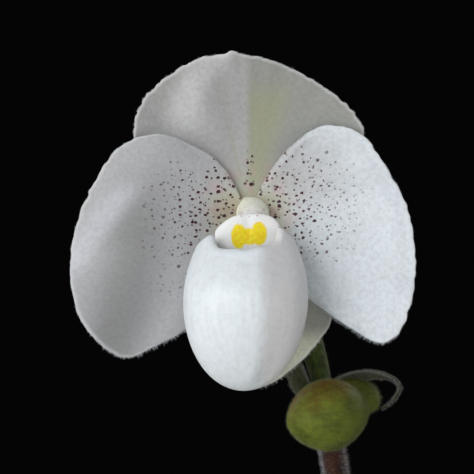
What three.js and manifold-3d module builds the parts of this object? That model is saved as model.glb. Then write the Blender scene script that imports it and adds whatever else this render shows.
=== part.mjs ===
// A potted slipper orchid: a clay pot of bark, two growths of strap leaves, and a hairy scape with one open
// white bloom and one green bud. Millimetres, +Z up, origin at the centre of the pot's foot. The bloom faces -Y.
import * as THREE from "three";
import { mergeVertices } from "three/addons/utils/BufferGeometryUtils.js";
import Module from "manifold-3d";

const wasm = await Module();
wasm.setup();

// Driving dimensions
const GAP = 0.3; // clearance between pieces that rest on each other
const POT = { height: 92, topRadius: 53, footRadius: 38, wall: 5, floor: 6, rimHeight: 18, rimOut: 3.5, sides: 40 };
const DRAIN = { count: 5, radius: 5, ring: 22, sides: 12 };
const BARK = { top: 78, dome: 2, chips: 84, length: 15, width: 10, height: 6, seed: 7 };
const RHIZOME = { bottom: 56, top: 66, radius: 11.8, sideRadius: 7.4, sides: 14 };
const SIDE_GROWTH = { x: 17, y: -25 }; // the young growth's centre
const LEAF = { thickness: 0.9, sheathPitch: 1.45, innerSheath: 3.6, rows: 14, columns: 8 };
const TEPAL = { thickness: 0.8, rows: 8, columns: 18 };
const POUCH = { depth: 40.5, halfWidth: 14.1, wall: 0.8, columns: 24 };
const SCAPE = { radius: 2.3, nodeRadius: 2.5, sides: 9 };

// The bloom's centre, where the petals meet. Its group has x to the viewer's right, y up and z to the viewer.
const BLOOM = { x: -36, y: -30, z: 268 };

// Leaves from the oldest, outermost one to the youngest: turn about the growth in degrees, length and half width of
// the blade, length of the sheath, lean from upright where the blade leaves the sheath and at its tip, side sway
const MAIN_LEAVES = [
  { turn: 170, length: 98, half: 15, sheath: 17, lean: 62, droop: 98, sway: 6 },
  { turn: 11, length: 104, half: 15.5, sheath: 21, lean: 58, droop: 100, sway: 8 },
  { turn: 194, length: 112, half: 16.5, sheath: 26, lean: 50, droop: 101, sway: -7 },
  { turn: -11, length: 108, half: 16, sheath: 31, lean: 46, droop: 96, sway: 9 },
  { turn: 173, length: 88, half: 14, sheath: 37, lean: 33, droop: 74, sway: -5 },
  { turn: 6, length: 70, half: 12, sheath: 43, lean: 27, droop: 60, sway: 4 },
];
const SIDE_LEAVES = [
  { turn: 192, length: 52, half: 10.5, sheath: 16, lean: 52, droop: 88, sway: 3 },
  { turn: -8, length: 60, half: 11, sheath: 20, lean: 44, droop: 82, sway: -3 },
  { turn: 183, length: 44, half: 9, sheath: 25, lean: 26, droop: 52, sway: 2 },
];

// Margins of the tepals as [x, y] about the bloom's centre, seen from the front, clockwise from the left
const DORSAL_MARGIN = [
  [-25.4, 12.5], [-26.8, 18.5], [-25.1, 25.7], [-19.3, 31.4], [-11.3, 35.9], [-6, 36.7], [-3.9, 37.5], [-2, 36.8],
  [4.8, 35.5], [14, 31.5], [22.1, 24.6], [25.4, 18.5], [24, 12],
];
const LEFT_MARGIN = [
  [-4.6, -8], [-8.6, -18.5], [-13.6, -26], [-21.6, -30.6], [-28.4, -33.4], [-34.4, -30.2], [-38.6, -24.3],
  [-40.7, -16.7], [-40.9, -9.5], [-38.6, -0.8], [-35.4, 6.6], [-29.7, 14.7], [-20.6, 17.7], [-10.2, 13.7],
  [-5.6, 9.8], [-3, 5.6],
];
const RIGHT_MARGIN = [
  [3.2, 6.3], [6, 10.9], [9.5, 15], [16.8, 19.6], [25, 18.1], [30.1, 11.9], [35.7, 1.5], [37.9, -8], [37.9, -16.8],
  [35.1, -25.9], [32.2, -29.4], [29.1, -30.2], [24.3, -27.8], [17.5, -23.3], [10, -16.6], [5, -8.4],
];
const SYNSEPAL_MARGIN = [
  [9.5, -9.5], [16.5, -17.5], [19, -24.6], [16.2, -29.6], [11.1, -35.2], [3, -40.2], [-4, -38], [-10, -32],
  [-12.3, -25.1], [-10.2, -18.1], [-6.2, -10],
];

const rad = (degrees) => (degrees * Math.PI) / 180;
const clamp = (x, a, b) => Math.min(b, Math.max(a, x));
const mix = (a, b, x) => a + (b - a) * x;
const vec = (x, y, z) => new THREE.Vector3(x, y, z);

function smooth(a, b, x) {
  const t = clamp((x - a) / (b - a), 0, 1);
  return t * t * (3 - 2 * t);
}

// A seeded random draw, the same one each time.
function draws(seed) {
  let state = seed >>> 0;
  return () => {
    state = (Math.imul(state, 1664525) + 1013904223) >>> 0;
    return state / 4294967296;
  };
}

// The smooth curve through [x, y] pairs, read at x.
function through(pairs, x) {
  const rising = pairs[pairs.length - 1][0] > pairs[0][0];
  const p = rising ? pairs : [...pairs].reverse();
  const last = p.length - 1;
  const slope = (i) => {
    const a = p[Math.max(0, i - 1)];
    const b = p[Math.min(last, i + 1)];
    return (b[1] - a[1]) / (b[0] - a[0]);
  };
  let i = 0;
  while (i < last - 1 && x > p[i + 1][0]) i += 1;
  const span = p[i + 1][0] - p[i][0];
  const t = clamp((x - p[i][0]) / span, 0, 1);
  const t2 = t * t;
  const t3 = t2 * t;
  return (
    (2 * t3 - 3 * t2 + 1) * p[i][1] +
    (t3 - 2 * t2 + t) * span * slope(i) +
    (3 * t2 - 2 * t3) * p[i + 1][1] +
    (t3 - t2) * span * slope(i + 1)
  );
}

// A closed surface from points and triangles, turned so that its faces point out.
function closed(points, triangles) {
  let volume = 0;
  for (const [a, b, c] of triangles) {
    volume += points[a].dot(vec(0, 0, 0).crossVectors(points[b], points[c]));
  }
  const order = volume < 0 ? triangles.map(([a, b, c]) => [a, c, b]) : triangles;
  const geometry = new THREE.BufferGeometry();
  geometry.setAttribute("position", new THREE.Float32BufferAttribute(points.flatMap((p) => p.toArray()), 3));
  geometry.setIndex(order.flat());
  return geometry;
}

// A thin plate about surface(s, t), with s and t from 0 to 1.
function plate(surface, rows, columns, thickness) {
  const step = 1e-3;
  const front = [];
  const back = [];
  for (let i = 0; i <= rows; i += 1) {
    for (let j = 0; j <= columns; j += 1) {
      const s = clamp(i / rows, step, 1 - step);
      const t = clamp(j / columns, step, 1 - step);
      const along = surface(s + step, t).sub(surface(s - step, t));
      const across = surface(s, t + step).sub(surface(s, t - step));
      const half = along.cross(across).normalize().multiplyScalar(thickness / 2);
      const point = surface(i / rows, j / columns);
      front.push(point.clone().add(half));
      back.push(point.clone().sub(half));
    }
  }
  const width = columns + 1;
  const shift = front.length;
  const triangles = [];
  const quad = (a, b, c, d) => triangles.push([a, b, c], [a, c, d]);
  for (let i = 0; i < rows; i += 1) {
    for (let j = 0; j < columns; j += 1) {
      const a = i * width + j;
      triangles.push([a, a + width, a + width + 1], [a, a + width + 1, a + 1]);
      triangles.push([a + shift, a + shift + width + 1, a + shift + width], [a + shift, a + shift + 1, a + shift + width + 1]);
    }
  }
  for (let j = 0; j < columns; j += 1) {
    const end = rows * width + j;
    quad(j, j + 1, j + 1 + shift, j + shift);
    quad(end + 1, end, end + shift, end + 1 + shift);
  }
  for (let i = 0; i < rows; i += 1) {
    const a = i * width;
    const b = a + columns;
    quad(a + width, a, a + shift, a + width + shift);
    quad(b, b + width, b + width + shift, b + shift);
  }
  return closed([...front, ...back], triangles);
}

// A closed skin over rings of points, each ring with the same number, closed by a point at each end.
function loft(rings) {
  const count = rings[0].length;
  const points = rings.flat();
  const triangles = [];
  for (let i = 0; i + 1 < rings.length; i += 1) {
    for (let j = 0; j < count; j += 1) {
      const a = i * count + j;
      const b = i * count + ((j + 1) % count);
      triangles.push([a, b, b + count], [a, b + count, a + count]);
    }
  }
  for (const [ring, flip] of [[rings[0], true], [rings[rings.length - 1], false]]) {
    const middle = ring.reduce((sum, p) => sum.add(p), vec(0, 0, 0)).divideScalar(count);
    const start = flip ? 0 : (rings.length - 1) * count;
    points.push(middle);
    for (let j = 0; j < count; j += 1) {
      const a = start + j;
      const b = start + ((j + 1) % count);
      triangles.push(flip ? [b, a, points.length - 1] : [a, b, points.length - 1]);
    }
  }
  return closed(points, triangles);
}

// A stalk of changing radius along a smooth curve through the points.
function stalk(points, radiusAt, steps, sides) {
  const curve = new THREE.CatmullRomCurve3(points, false, "centripetal");
  const frames = curve.computeFrenetFrames(steps, false);
  const rings = [];
  for (let i = 0; i <= steps; i += 1) {
    const centre = curve.getPointAt(i / steps);
    const ring = [];
    for (let j = 0; j < sides; j += 1) {
      const angle = (2 * Math.PI * j) / sides;
      const out = frames.normals[i].clone().multiplyScalar(Math.cos(angle));
      out.add(frames.binormals[i].clone().multiplyScalar(Math.sin(angle)));
      ring.push(centre.clone().add(out.multiplyScalar(radiusAt(i / steps))));
    }
    rings.push(ring);
  }
  return loft(rings);
}

function solid(geometry) {
  const bare = geometry.clone();
  for (const name of ["normal", "uv"]) bare.deleteAttribute(name);
  const merged = mergeVertices(bare, 1e-4);
  const vertProperties = merged.attributes.position.array;
  return new wasm.Manifold(new wasm.Mesh({ numProp: 3, vertProperties, triVerts: new Uint32Array(merged.index.array) }));
}

function surfaceOf(manifold) {
  const mesh = manifold.getMesh();
  const geometry = new THREE.BufferGeometry();
  geometry.setAttribute("position", new THREE.BufferAttribute(mesh.vertProperties, 3));
  geometry.setIndex(new THREE.BufferAttribute(mesh.triVerts, 1));
  return geometry;
}

// A turned shape about +Z from [radius, height] pairs that start and end on the axis.
function turned(profile, sides) {
  const points = profile.map(([r, z]) => new THREE.Vector2(r, z));
  const geometry = new THREE.LatheGeometry(points, sides).rotateX(Math.PI / 2);
  return surfaceOf(oriented(geometry));
}

function oriented(geometry) {
  const made = solid(geometry);
  if (made.volume() > 0) return made;
  const turnedRound = geometry.index ? geometry.toNonIndexed() : geometry.clone();
  const p = turnedRound.getAttribute("position").array;
  for (let i = 0; i < p.length; i += 9) {
    for (let k = 0; k < 3; k += 1) [p[i + 3 + k], p[i + 6 + k]] = [p[i + 6 + k], p[i + 3 + k]];
  }
  return solid(turnedRound);
}

const part = new THREE.Group();
const bloom = new THREE.Group();
bloom.rotation.x = Math.PI / 2;
bloom.position.set(BLOOM.x, BLOOM.y, BLOOM.z);
part.add(bloom);

function add(parent, name, geometry, colour, roughness = 0.7) {
  const material = new THREE.MeshStandardMaterial({ color: colour, roughness, metalness: 0 });
  const mesh = new THREE.Mesh(geometry, material);
  mesh.name = name;
  parent.add(mesh);
  return mesh;
}

// Pot: turned clay with a collar round its mouth and drain holes in its foot
const potWallAt = (z) => mix(POT.footRadius, POT.topRadius, z / POT.height);

function potGeometry() {
  const { height, wall, floor, rimHeight, rimOut, sides } = POT;
  const collar = height - rimHeight;
  const profile = [
    [0, 0], [potWallAt(0) - 1.5, 0], [potWallAt(0), 1.5], [potWallAt(collar), collar],
    [potWallAt(collar) + rimOut, collar + 1.5], [potWallAt(height) + rimOut, height - 2],
    [potWallAt(height) + rimOut - 2, height], [potWallAt(height) - wall + 1.5, height],
    [potWallAt(height) - wall, height - 1.5], [potWallAt(floor) - wall, floor], [0, floor],
  ];
  let made = solid(turned(profile, sides));
  for (let i = 0; i < DRAIN.count; i += 1) {
    const angle = (2 * Math.PI * (i + 0.5)) / DRAIN.count;
    const hole = new THREE.CylinderGeometry(DRAIN.radius, DRAIN.radius, 3 * floor, DRAIN.sides).rotateX(Math.PI / 2);
    hole.translate(DRAIN.ring * Math.cos(angle), DRAIN.ring * Math.sin(angle), floor / 2);
    made = made.subtract(solid(hole));
  }
  return surfaceOf(made);
}

// Bark: a bed that fills the pot, its top covered with chips, with a plain hole where each growth stands
function chip(random, x, y, z) {
  const size = 0.75 + 0.5 * random();
  const box = new THREE.BoxGeometry(BARK.length * size, BARK.width * size, BARK.height * size);
  const merged = mergeVertices(stripped(box), 1e-4);
  const p = merged.getAttribute("position");
  for (let i = 0; i < p.count; i += 1) {
    const k = () => 0.72 + 0.4 * random();
    p.setXYZ(i, p.getX(i) * k(), p.getY(i) * k(), p.getZ(i) * k());
  }
  merged.rotateX(rad(26) * (random() - 0.5)).rotateY(rad(30) * (random() - 0.5)).rotateZ(2 * Math.PI * random());
  return merged.translate(x, y, z);
}

function stripped(geometry) {
  geometry.deleteAttribute("normal");
  geometry.deleteAttribute("uv");
  return geometry;
}

function barkGeometry() {
  const { top, dome, chips, seed } = BARK;
  const low = POT.floor + GAP;
  const inner = (z) => potWallAt(z) - POT.wall - 0.8;
  let bed = solid(turned([[0, low], [inner(low), low], [inner(top), top - 1.5], [inner(top) - 6, top], [0, top + dome]], POT.sides));
  const random = draws(seed);
  const golden = Math.PI * (3 - Math.sqrt(5));
  const reach = inner(top) - 6.5;
  for (let i = 0; i < chips; i += 1) {
    const r = reach * Math.sqrt((i + 0.5) / chips);
    const angle = i * golden;
    const z = top + dome * (1 - r / reach) + 1.6 * (random() - 0.4);
    bed = bed.add(oriented(chip(random, r * Math.cos(angle), r * Math.sin(angle), z)));
  }
  bed = bed.intersect(solid(turned([[0, low - 1], [inner(low - 1), low - 1], [inner(100), 100], [0, 100]], POT.sides)));
  for (const [x, y, r] of [[0, 0, RHIZOME.radius + GAP + 0.2], [SIDE_GROWTH.x, SIDE_GROWTH.y, RHIZOME.sideRadius + GAP + 0.2]]) {
    const deep = RHIZOME.bottom - GAP;
    const well = new THREE.CylinderGeometry(r, r, 60, RHIZOME.sides).rotateX(Math.PI / 2).translate(x, y, deep + 30);
    bed = bed.subtract(solid(well));
  }
  const clear = new THREE.CylinderGeometry(RHIZOME.radius + 5, RHIZOME.radius - 1, 20, RHIZOME.sides);
  bed = bed.subtract(solid(clear.rotateX(Math.PI / 2).translate(0, 0, top + dome + 10.5)));
  bed = bed.subtract(solid(linkGeometry(0.5)));
  const bodies = bed.decompose().sort((a, b) => b.volume() - a.volume());
  return surfaceOf(bodies[0]);
}

// Rhizome: the short rootstock of both growths and the runner between them
function linkGeometry(grow) {
  const from = vec(0, 0, 61);
  const to = vec(SIDE_GROWTH.x, SIDE_GROWTH.y, 61);
  return stalk([from, from.clone().lerp(to, 0.5), to], () => 3.5 + grow, 2, 8);
}

function rhizomeGeometry() {
  const { bottom, top, radius, sideRadius, sides } = RHIZOME;
  const stub = (r) => turned([[0, bottom], [r - 2, bottom], [r, bottom + 2], [r, top], [0, top]], sides);
  const main = solid(stub(radius));
  const side = solid(stub(sideRadius).translate(SIDE_GROWTH.x, SIDE_GROWTH.y, 0));
  return surfaceOf(main.add(side).add(solid(linkGeometry(0))));
}

// A leaf: a sheath that clasps the growth, then a folded, arching strap with a shallow point
function leafSurface(leaf, sheathRadius) {
  const total = leaf.sheath + leaf.length;
  const lean = (l) => {
    const bend = smooth(leaf.sheath * 0.8, leaf.sheath + 14, l);
    return rad(leaf.lean * bend + (leaf.droop - leaf.lean) * smooth(leaf.sheath, total, l));
  };
  const steps = 60;
  const path = [[sheathRadius, RHIZOME.top + GAP]];
  for (let i = 0; i < steps; i += 1) {
    const l = ((i + 0.5) * total) / steps;
    const [r, z] = path[i];
    path.push([r + (Math.sin(lean(l)) * total) / steps, z + (Math.cos(lean(l)) * total) / steps]);
  }
  const at = (l) => {
    const x = clamp((l / total) * steps, 0, steps - 1e-6);
    const i = Math.floor(x);
    return [mix(path[i][0], path[i + 1][0], x - i), mix(path[i][1], path[i + 1][1], x - i)];
  };
  return (s, t) => {
    const l = s * total;
    const blade = (l - leaf.sheath) / leaf.length;
    const [r, z] = at(l);
    const unroll = smooth(leaf.sheath - 2, leaf.sheath + 30, l);
    const clasp = rad(mix(112, 72, smooth(0, leaf.sheath, l)));
    const curl = mix(clasp, rad(-14), unroll);
    const fold = rad(mix(0, 30, smooth(leaf.sheath, leaf.sheath + 12, l)) * mix(1, 0.42, smooth(0.1, 0.9, blade)));
    const sheathHalf = sheathRadius * clasp;
    const tip = Math.sqrt(Math.max(0, 1 - Math.pow(clamp((blade - 0.52) / 0.48, 0, 1), 2.3)));
    const bladeHalf = leaf.half * mix(0.82, 1, smooth(0, 0.45, blade)) * Math.max(tip, 0.07);
    const half = mix(sheathHalf, bladeHalf, smooth(leaf.sheath, leaf.sheath + 26, l));
    const u = 2 * t - 1;
    const side = Math.sign(u);
    let across = 0;
    let lift = 0;
    const parts = 8;
    for (let k = 0; k < parts; k += 1) {
      const v = (Math.abs(u) * (k + 0.5)) / parts;
      const angle = fold + curl * v;
      across += (Math.cos(angle) * half * Math.abs(u)) / parts;
      lift += (Math.sin(angle) * half * Math.abs(u)) / parts;
    }
    const sway = leaf.sway * Math.pow(clamp(blade, 0, 1), 2);
    const lateral = side * across + sway;
    const up = lean(l);
    const out = r - lift * Math.cos(up);
    return vec(out, lateral, z + lift * Math.sin(up));
  };
}

function addGrowth(name, leaves, centre, rows, columns) {
  leaves.forEach((leaf, i) => {
    const group = new THREE.Group();
    group.position.set(centre.x, centre.y, 0);
    group.rotation.z = rad(leaf.turn);
    part.add(group);
    const radius = LEAF.innerSheath + (leaves.length - 1 - i) * LEAF.sheathPitch;
    const surface = leafSurface(leaf, radius);
    add(group, `${name}_leaf_${i + 1}`, plate(surface, rows, columns, LEAF.thickness), 0x4f6b3f, 0.45);
  });
}

// Bloom: each tepal is a fan of straight rays from its claw to its margin, dished towards the viewer
const CLAW = 4.1; // radius round the bloom's centre at which the tepals begin

// The smooth line through [x, y] points, read at a share t of its length.
function outline(points) {
  const run = [0];
  for (let i = 1; i < points.length; i += 1) {
    run.push(run[i - 1] + Math.hypot(points[i][0] - points[i - 1][0], points[i][1] - points[i - 1][1]));
  }
  const read = (axis, t) => through(points.map((p, i) => [run[i], p[axis]]), t * run[run.length - 1]);
  return (t) => vec(read(0, t), read(1, t), 0);
}

function tepalSurface(margin, clawFrom, clawTo, depth) {
  const edge = outline(margin);
  return (s, t) => {
    const angle = rad(mix(clawFrom, clawTo, t));
    const point = vec(CLAW * Math.cos(angle), CLAW * Math.sin(angle), 0).lerp(edge(t), s);
    point.z = depth(Math.hypot(point.x, point.y), t, s);
    return point;
  };
}

// How far each tepal stands towards the viewer, at a distance from the bloom's centre
const bell = (x, centre, width) => Math.exp(-Math.pow((x - centre) / width, 2));
// the hood: dished, with one soft fold left of its middle
function dorsalDepth(r, t, s) {
  const fold = 1.1 * bell(t, 0.33, 0.09) * smooth(0.25, 0.6, s);
  return -2.4 + 0.9 * bell(r, 0, 7) + 12 * Math.pow(r / 38, 2) + fold;
}
// the left petal levels off towards its upper left margin and has a shallow trough down to its tip
function leftDepth(r, t, s) {
  const level = smooth(0.36, 0.52, t) * smooth(1, 0.85, t);
  const trough = -0.9 * bell(t, 0.5, 0.13) * smooth(0.3, 0.62, s) * smooth(1.05, 0.75, s);
  return -0.2 + 17 * Math.pow(r / 46, 1.5) - 0.024 * level * Math.pow(Math.max(0, r - 22), 2) + trough;
}
function rightDepth(r, t, s) {
  const swell = 0.3 * s * Math.sin(rad(900 * t));
  return -0.2 + 16.5 * Math.pow(r / 46, 1.55) - 1.2 * smooth(0.86, 1, s) + swell;
}
const synsepalDepth = (r) => -3.2 + 5.5 * Math.pow(r / 40, 2);

function tepal(margin, clawFrom, clawTo, depth) {
  return plate(tepalSurface(margin, clawFrom, clawTo, depth), TEPAL.rows, TEPAL.columns, TEPAL.thickness);
}

// Pouch: an egg-shaped slipper with a turned-in lip, its mouth under the staminode
const BELLY = 0.49; // share of the depth at which the pouch is widest

function pouchShare(down) {
  const x = (down - BELLY) / (1 - BELLY);
  return x > 0 ? Math.sqrt(Math.max(0, 1 - x * x)) : 1 - 0.54 * x * x;
}

// A point of the pouch at a share of its depth and an angle round it, anticlockwise from the viewer's right as seen
// from above, with the front at 90 degrees, moved in by an inset.
function pouchPoint(down, angle, inset) {
  const below = clamp((down - BELLY) / (1 - BELLY), 0, 1);
  const front = mix(20.5, 27.5, smooth(0.1, BELLY, down)) - 4.5 * Math.pow(below, 2.5);
  const back = mix(-0.6, 4.5, smooth(0.07, 0.3, down)) + 6 * Math.pow(clamp((down - 0.3) / 0.7, 0, 1), 1.3);
  const round = mix(1, pouchShare(down), smooth(0.5, 0.62, down));
  const width = Math.max(POUCH.halfWidth * pouchShare(down) - inset, 0.5);
  const depth = Math.max(((front - back) / 2) * round - inset, 0.5);
  const x = mix(-0.4, -1.3, down) + width * Math.cos(angle);
  return vec(x, -POUCH.depth * down, (front + back) / 2 + depth * Math.sin(angle));
}

// Where the lip ends, as a share of the depth: highest in the two side lobes, lower in front and at the back, with a
// claw in the middle of the back that reaches up to the receptacle
function lipAt(angle) {
  const across = Math.cos(angle);
  const peak = across > 0 ? bell(across, 0.95, 0.2) : bell(across, -0.9, 0.2);
  const lobe = peak * smooth(-0.8, 0, Math.sin(angle));
  const claw = Math.sin(angle) < 0 ? Math.exp(-Math.pow(across / 0.225, 2)) : 0;
  return mix(0.205 - 0.085 * lobe - 0.022 * across, 0.085, claw);
}

// How far the lip turns in: fully at the front and sides, not at all at the back
const turnAt = (angle) => smooth(-0.95, -0.35, Math.sin(angle));

function pouchGeometry() {
  const rings = [];
  const ring = (make) => {
    const points = [];
    for (let j = 0; j < POUCH.columns; j += 1) points.push(make((2 * Math.PI * j) / POUCH.columns + Math.PI / 2));
    rings.push(points);
  };
  const levels = [0.994, 0.96, 0.9, 0.81, 0.7, 0.58, 0.46, 0.35];
  for (const down of levels) ring((angle) => pouchPoint(down, angle, 0));
  ring((angle) => pouchPoint(mix(lipAt(angle), 0.35, 0.5), angle, 0));
  ring((angle) => pouchPoint(lipAt(angle) + 0.02, angle, 0.1));
  ring((angle) => pouchPoint(lipAt(angle), angle, mix(0.4, 1, turnAt(angle))));
  ring((angle) => pouchPoint(lipAt(angle) + 0.012, angle, mix(0.8, 2, turnAt(angle))));
  ring((angle) => pouchPoint(lipAt(angle) + 0.06, angle, mix(0.8, 2.9, turnAt(angle))));
  ring((angle) => pouchPoint(lipAt(angle) + 0.068, angle, mix(0.8, 2.1, turnAt(angle))));
  ring((angle) => pouchPoint(lipAt(angle) + mix(0.08, 0.045, turnAt(angle)), angle, mix(0.8, 1.4, turnAt(angle))));
  for (const down of [...levels].reverse()) {
    ring((angle) => pouchPoint(Math.min(down, 0.972), angle, POUCH.wall));
  }
  return loft(rings);
}

// Staminode: the white shield on the end of the column, over the pouch's mouth
const SHIELD = { x: -0.3, y: -5.2, z: 11.2, halfWidth: 7.5, halfHeight: 4.6, roll: 4 };

function staminodeGeometry() {
  const ring = (x, y, z, a, b, power) => {
    const points = [];
    for (let j = 0; j < 16; j += 1) {
      const angle = (2 * Math.PI * j) / 16;
      const c = Math.cos(angle);
      const s = Math.sin(angle);
      const p = vec(a * Math.sign(c) * Math.pow(Math.abs(c), power), b * Math.sign(s) * Math.pow(Math.abs(s), power), 0);
      p.applyAxisAngle(vec(0, 0, 1), rad(SHIELD.roll));
      points.push(p.add(vec(x, y, z)));
    }
    return points;
  };
  const { x, y, z, halfWidth, halfHeight } = SHIELD;
  return loft([
    ring(0, 0.2, 1.9, 2.9, 2.7, 1),
    ring(0, -1, 5, 2.6, 2.4, 1),
    ring(x, -3.6, z - 2.4, 3, 2.4, 1),
    ring(x, y, z - 1.2, halfWidth - 0.6, halfHeight - 0.5, 0.85),
    ring(x, y, z - 0.4, halfWidth, halfHeight, 0.8),
    ring(x, y, z + 0.5, halfWidth - 1, halfHeight - 0.9, 0.85),
    ring(x, y - 0.2, z + 1.1, halfWidth * 0.5, halfHeight * 0.45, 1),
  ]);
}

// Bracts: hollow boats about a keel, open on the side that faces `inward`; each half has a width and a hollow
const blunt = (s) => Math.sqrt(Math.max(0.012, 1 - Math.pow(s, 3)));
const slender = (s) => Math.pow(Math.max(0.02, 1 - s), 0.6);

function bractSurface(keel, inward, widths, hollows, taper) {
  const curve = new THREE.CatmullRomCurve3(keel, false, "centripetal");
  return (s, t) => {
    const centre = curve.getPointAt(s);
    const along = curve.getTangentAt(s);
    const inner = inward.clone().sub(centre);
    inner.addScaledVector(along, -inner.dot(along)).normalize();
    const across = along.clone().cross(inner);
    const u = 2 * t - 1;
    const side = u < 0 ? 0 : 1;
    const half = widths[side] * Math.sqrt(smooth(-0.35, 0.3, s)) * taper(s);
    const hollow = hollows[side] * half * u * u;
    return centre.addScaledVector(across, half * Math.sin(1.25 * u)).addScaledVector(inner, hollow);
  };
}

const mesh = { pot: potGeometry(), bark: barkGeometry(), rhizome: rhizomeGeometry() };
add(part, "pot", mesh.pot, 0xb5623f, 0.85);
add(part, "bark_mix", mesh.bark, 0x5a3a26, 0.95);
add(part, "rhizome", mesh.rhizome, 0x6b5a3a, 0.9);
addGrowth("main", MAIN_LEAVES, { x: 0, y: 0 }, LEAF.rows, LEAF.columns);
addGrowth("side", SIDE_LEAVES, SIDE_GROWTH, LEAF.rows - 4, LEAF.columns - 2);

// Scape: from the rhizome to the node where the bloom's stalk and the bud part
const NODE = vec(18, -43, -15);
const toPart = (p) => vec(BLOOM.x + p.x, BLOOM.y - p.z, BLOOM.z + p.y);
const scapeRoute = [
  vec(0, 0, RHIZOME.top + GAP), vec(0, 0, 95), vec(-0.2, -0.2, 112), vec(-2, -2.4, 138), vec(-6, -6.4, 164),
  vec(-11, -10.2, 189), vec(-15.4, -13, 207), toPart(NODE),
];
add(part, "scape", stalk(scapeRoute, (s) => mix(SCAPE.radius, SCAPE.nodeRadius, s), 30, SCAPE.sides), 0x5d3b33, 0.7);

// Ovary: the bloom's stalk, arching from the node to the back of the bloom, where it ends in the receptacle
const ovaryRoute = [
  vec(17.7, -41.6, -15.6), vec(16.6, -37, -18), vec(14.2, -29, -20.5), vec(9.5, -17, -18), vec(4, -6.5, -11),
  vec(0.4, -0.6, -4.4),
];
const ovaryRadius = (s) => 2.2 + 1 * Math.sin(Math.PI * clamp(s * 1.05, 0, 1));
const receptacle = new THREE.SphereGeometry(3.4, 12, 8).scale(1, 1, 1.15).translate(0, 0, -2.4);
const ovary = oriented(stalk(ovaryRoute, ovaryRadius, 14, SCAPE.sides)).add(solid(receptacle));
add(bloom, "ovary", surfaceOf(ovary), 0x4d5a2c, 0.7);

add(bloom, "dorsal_sepal", tepal(DORSAL_MARGIN, 142, 38, dorsalDepth), 0xe9e9e4, 0.55);
add(bloom, "synsepal", tepal(SYNSEPAL_MARGIN, -54, -126, synsepalDepth), 0xe4e6dc, 0.55);
add(bloom, "petal_left", tepal(LEFT_MARGIN, 238, 124, leftDepth), 0xefefec, 0.55);
add(bloom, "petal_right", tepal(RIGHT_MARGIN, 62, -56, rightDepth), 0xefefec, 0.55);
add(bloom, "pouch", pouchGeometry(), 0xf4f6f6, 0.5);
add(bloom, "staminode", staminodeGeometry(), 0xf6f4ea, 0.5);

// Bud: an egg of folded sepals on its own green stalk, nodding towards the viewer
const budTip = vec(-0.86, -0.18, 0.48).normalize();
const budBase = vec(18.1, -47.3, -2).addScaledVector(budTip, -9.6);
const budRoute = [budBase, budBase.clone().addScaledVector(budTip, 10), budBase.clone().addScaledVector(budTip, 19.8)];
const budRadius = (s) => 8.3 * Math.pow(Math.sin(Math.PI * mix(0.1, 0.985, s)), 0.62);
const budStalkRoute = [
  vec(20.9, -42.1, -14.6), vec(24.4, -41.3, -13.4), vec(27.8, -42.4, -11.2), vec(28.6, -44.5, -8.4),
  budBase.clone().addScaledVector(budTip, 1.5),
];
const budStalk = oriented(stalk(budStalkRoute, (s) => mix(1.9, 2.25, s), 10, SCAPE.sides));
add(bloom, "bud", surfaceOf(budStalk.add(oriented(stalk(budRoute, budRadius, 12, 16)))), 0x9aa548, 0.6);

const budKeel = [
  vec(21.6, -39.4, -15), vec(24.4, -38.3, -12.8), vec(28.6, -37.6, -10.4), vec(32.2, -38.2, -8.8),
  vec(34.7, -39.7, -8), vec(35.5, -41.4, -7.6), vec(34.7, -43.2, -7.6), vec(33.4, -44.7, -7.6), vec(31.4, -46.2, -7.6),
];
const budBract = bractSurface(budKeel, vec(28.5, -43, -9.5), [2.4, 4.2], [0.1, 0.42], slender);
add(bloom, "bud_bract", plate(budBract, 12, 6, 0.7), 0x77834f, 0.6);
const bloomKeel = [
  vec(15.1, -44.6, -13.7), vec(13.2, -43, -12.9), vec(11.2, -39.2, -12.4), vec(9.8, -34.6, -12.8), vec(9, -29.5, -14.2),
];
const bloomBract = bractSurface(bloomKeel, vec(17.5, -36, -18.5), [2.5, 6], [0.5, 0.6], blunt);
add(bloom, "bloom_bract", plate(bloomBract, 10, 6, 0.7), 0x66713f, 0.6);

export default part;
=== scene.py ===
import bpy
import numpy as np
from mathutils import Matrix, Vector


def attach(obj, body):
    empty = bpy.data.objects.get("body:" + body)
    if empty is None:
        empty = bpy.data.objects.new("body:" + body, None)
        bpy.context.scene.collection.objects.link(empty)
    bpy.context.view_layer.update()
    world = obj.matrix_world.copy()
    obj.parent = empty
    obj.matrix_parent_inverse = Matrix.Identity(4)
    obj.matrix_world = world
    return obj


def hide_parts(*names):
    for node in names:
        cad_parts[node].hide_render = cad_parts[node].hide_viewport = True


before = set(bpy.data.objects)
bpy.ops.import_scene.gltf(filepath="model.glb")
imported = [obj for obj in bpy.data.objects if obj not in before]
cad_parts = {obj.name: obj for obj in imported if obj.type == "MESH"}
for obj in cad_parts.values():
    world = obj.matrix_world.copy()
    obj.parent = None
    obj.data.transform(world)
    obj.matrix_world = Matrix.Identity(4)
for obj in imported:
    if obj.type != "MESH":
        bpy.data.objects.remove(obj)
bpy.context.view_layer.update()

# %% [markdown]
# ## The camera
# The photograph looks straight at the bloom from its own height, and a long lens flattens it. A camera
# about 600 mm away whose frame is 110 mm wide at the petals gives that. Its axis passes a little below and
# beside the bloom's centre, as in the photograph, so no shift is needed.

# %% Camera
MM = 0.001
FRAME_WIDTH, DISTANCE, SENSOR = 110.0, 600.0, 36.0
BLOOM_AT = (-36.0, -30.0, 268.0)  # the bloom's centre, in millimetres
AXIS_X, AXIS_Z = -38.8, 262.2  # where the camera's axis runs

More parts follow.
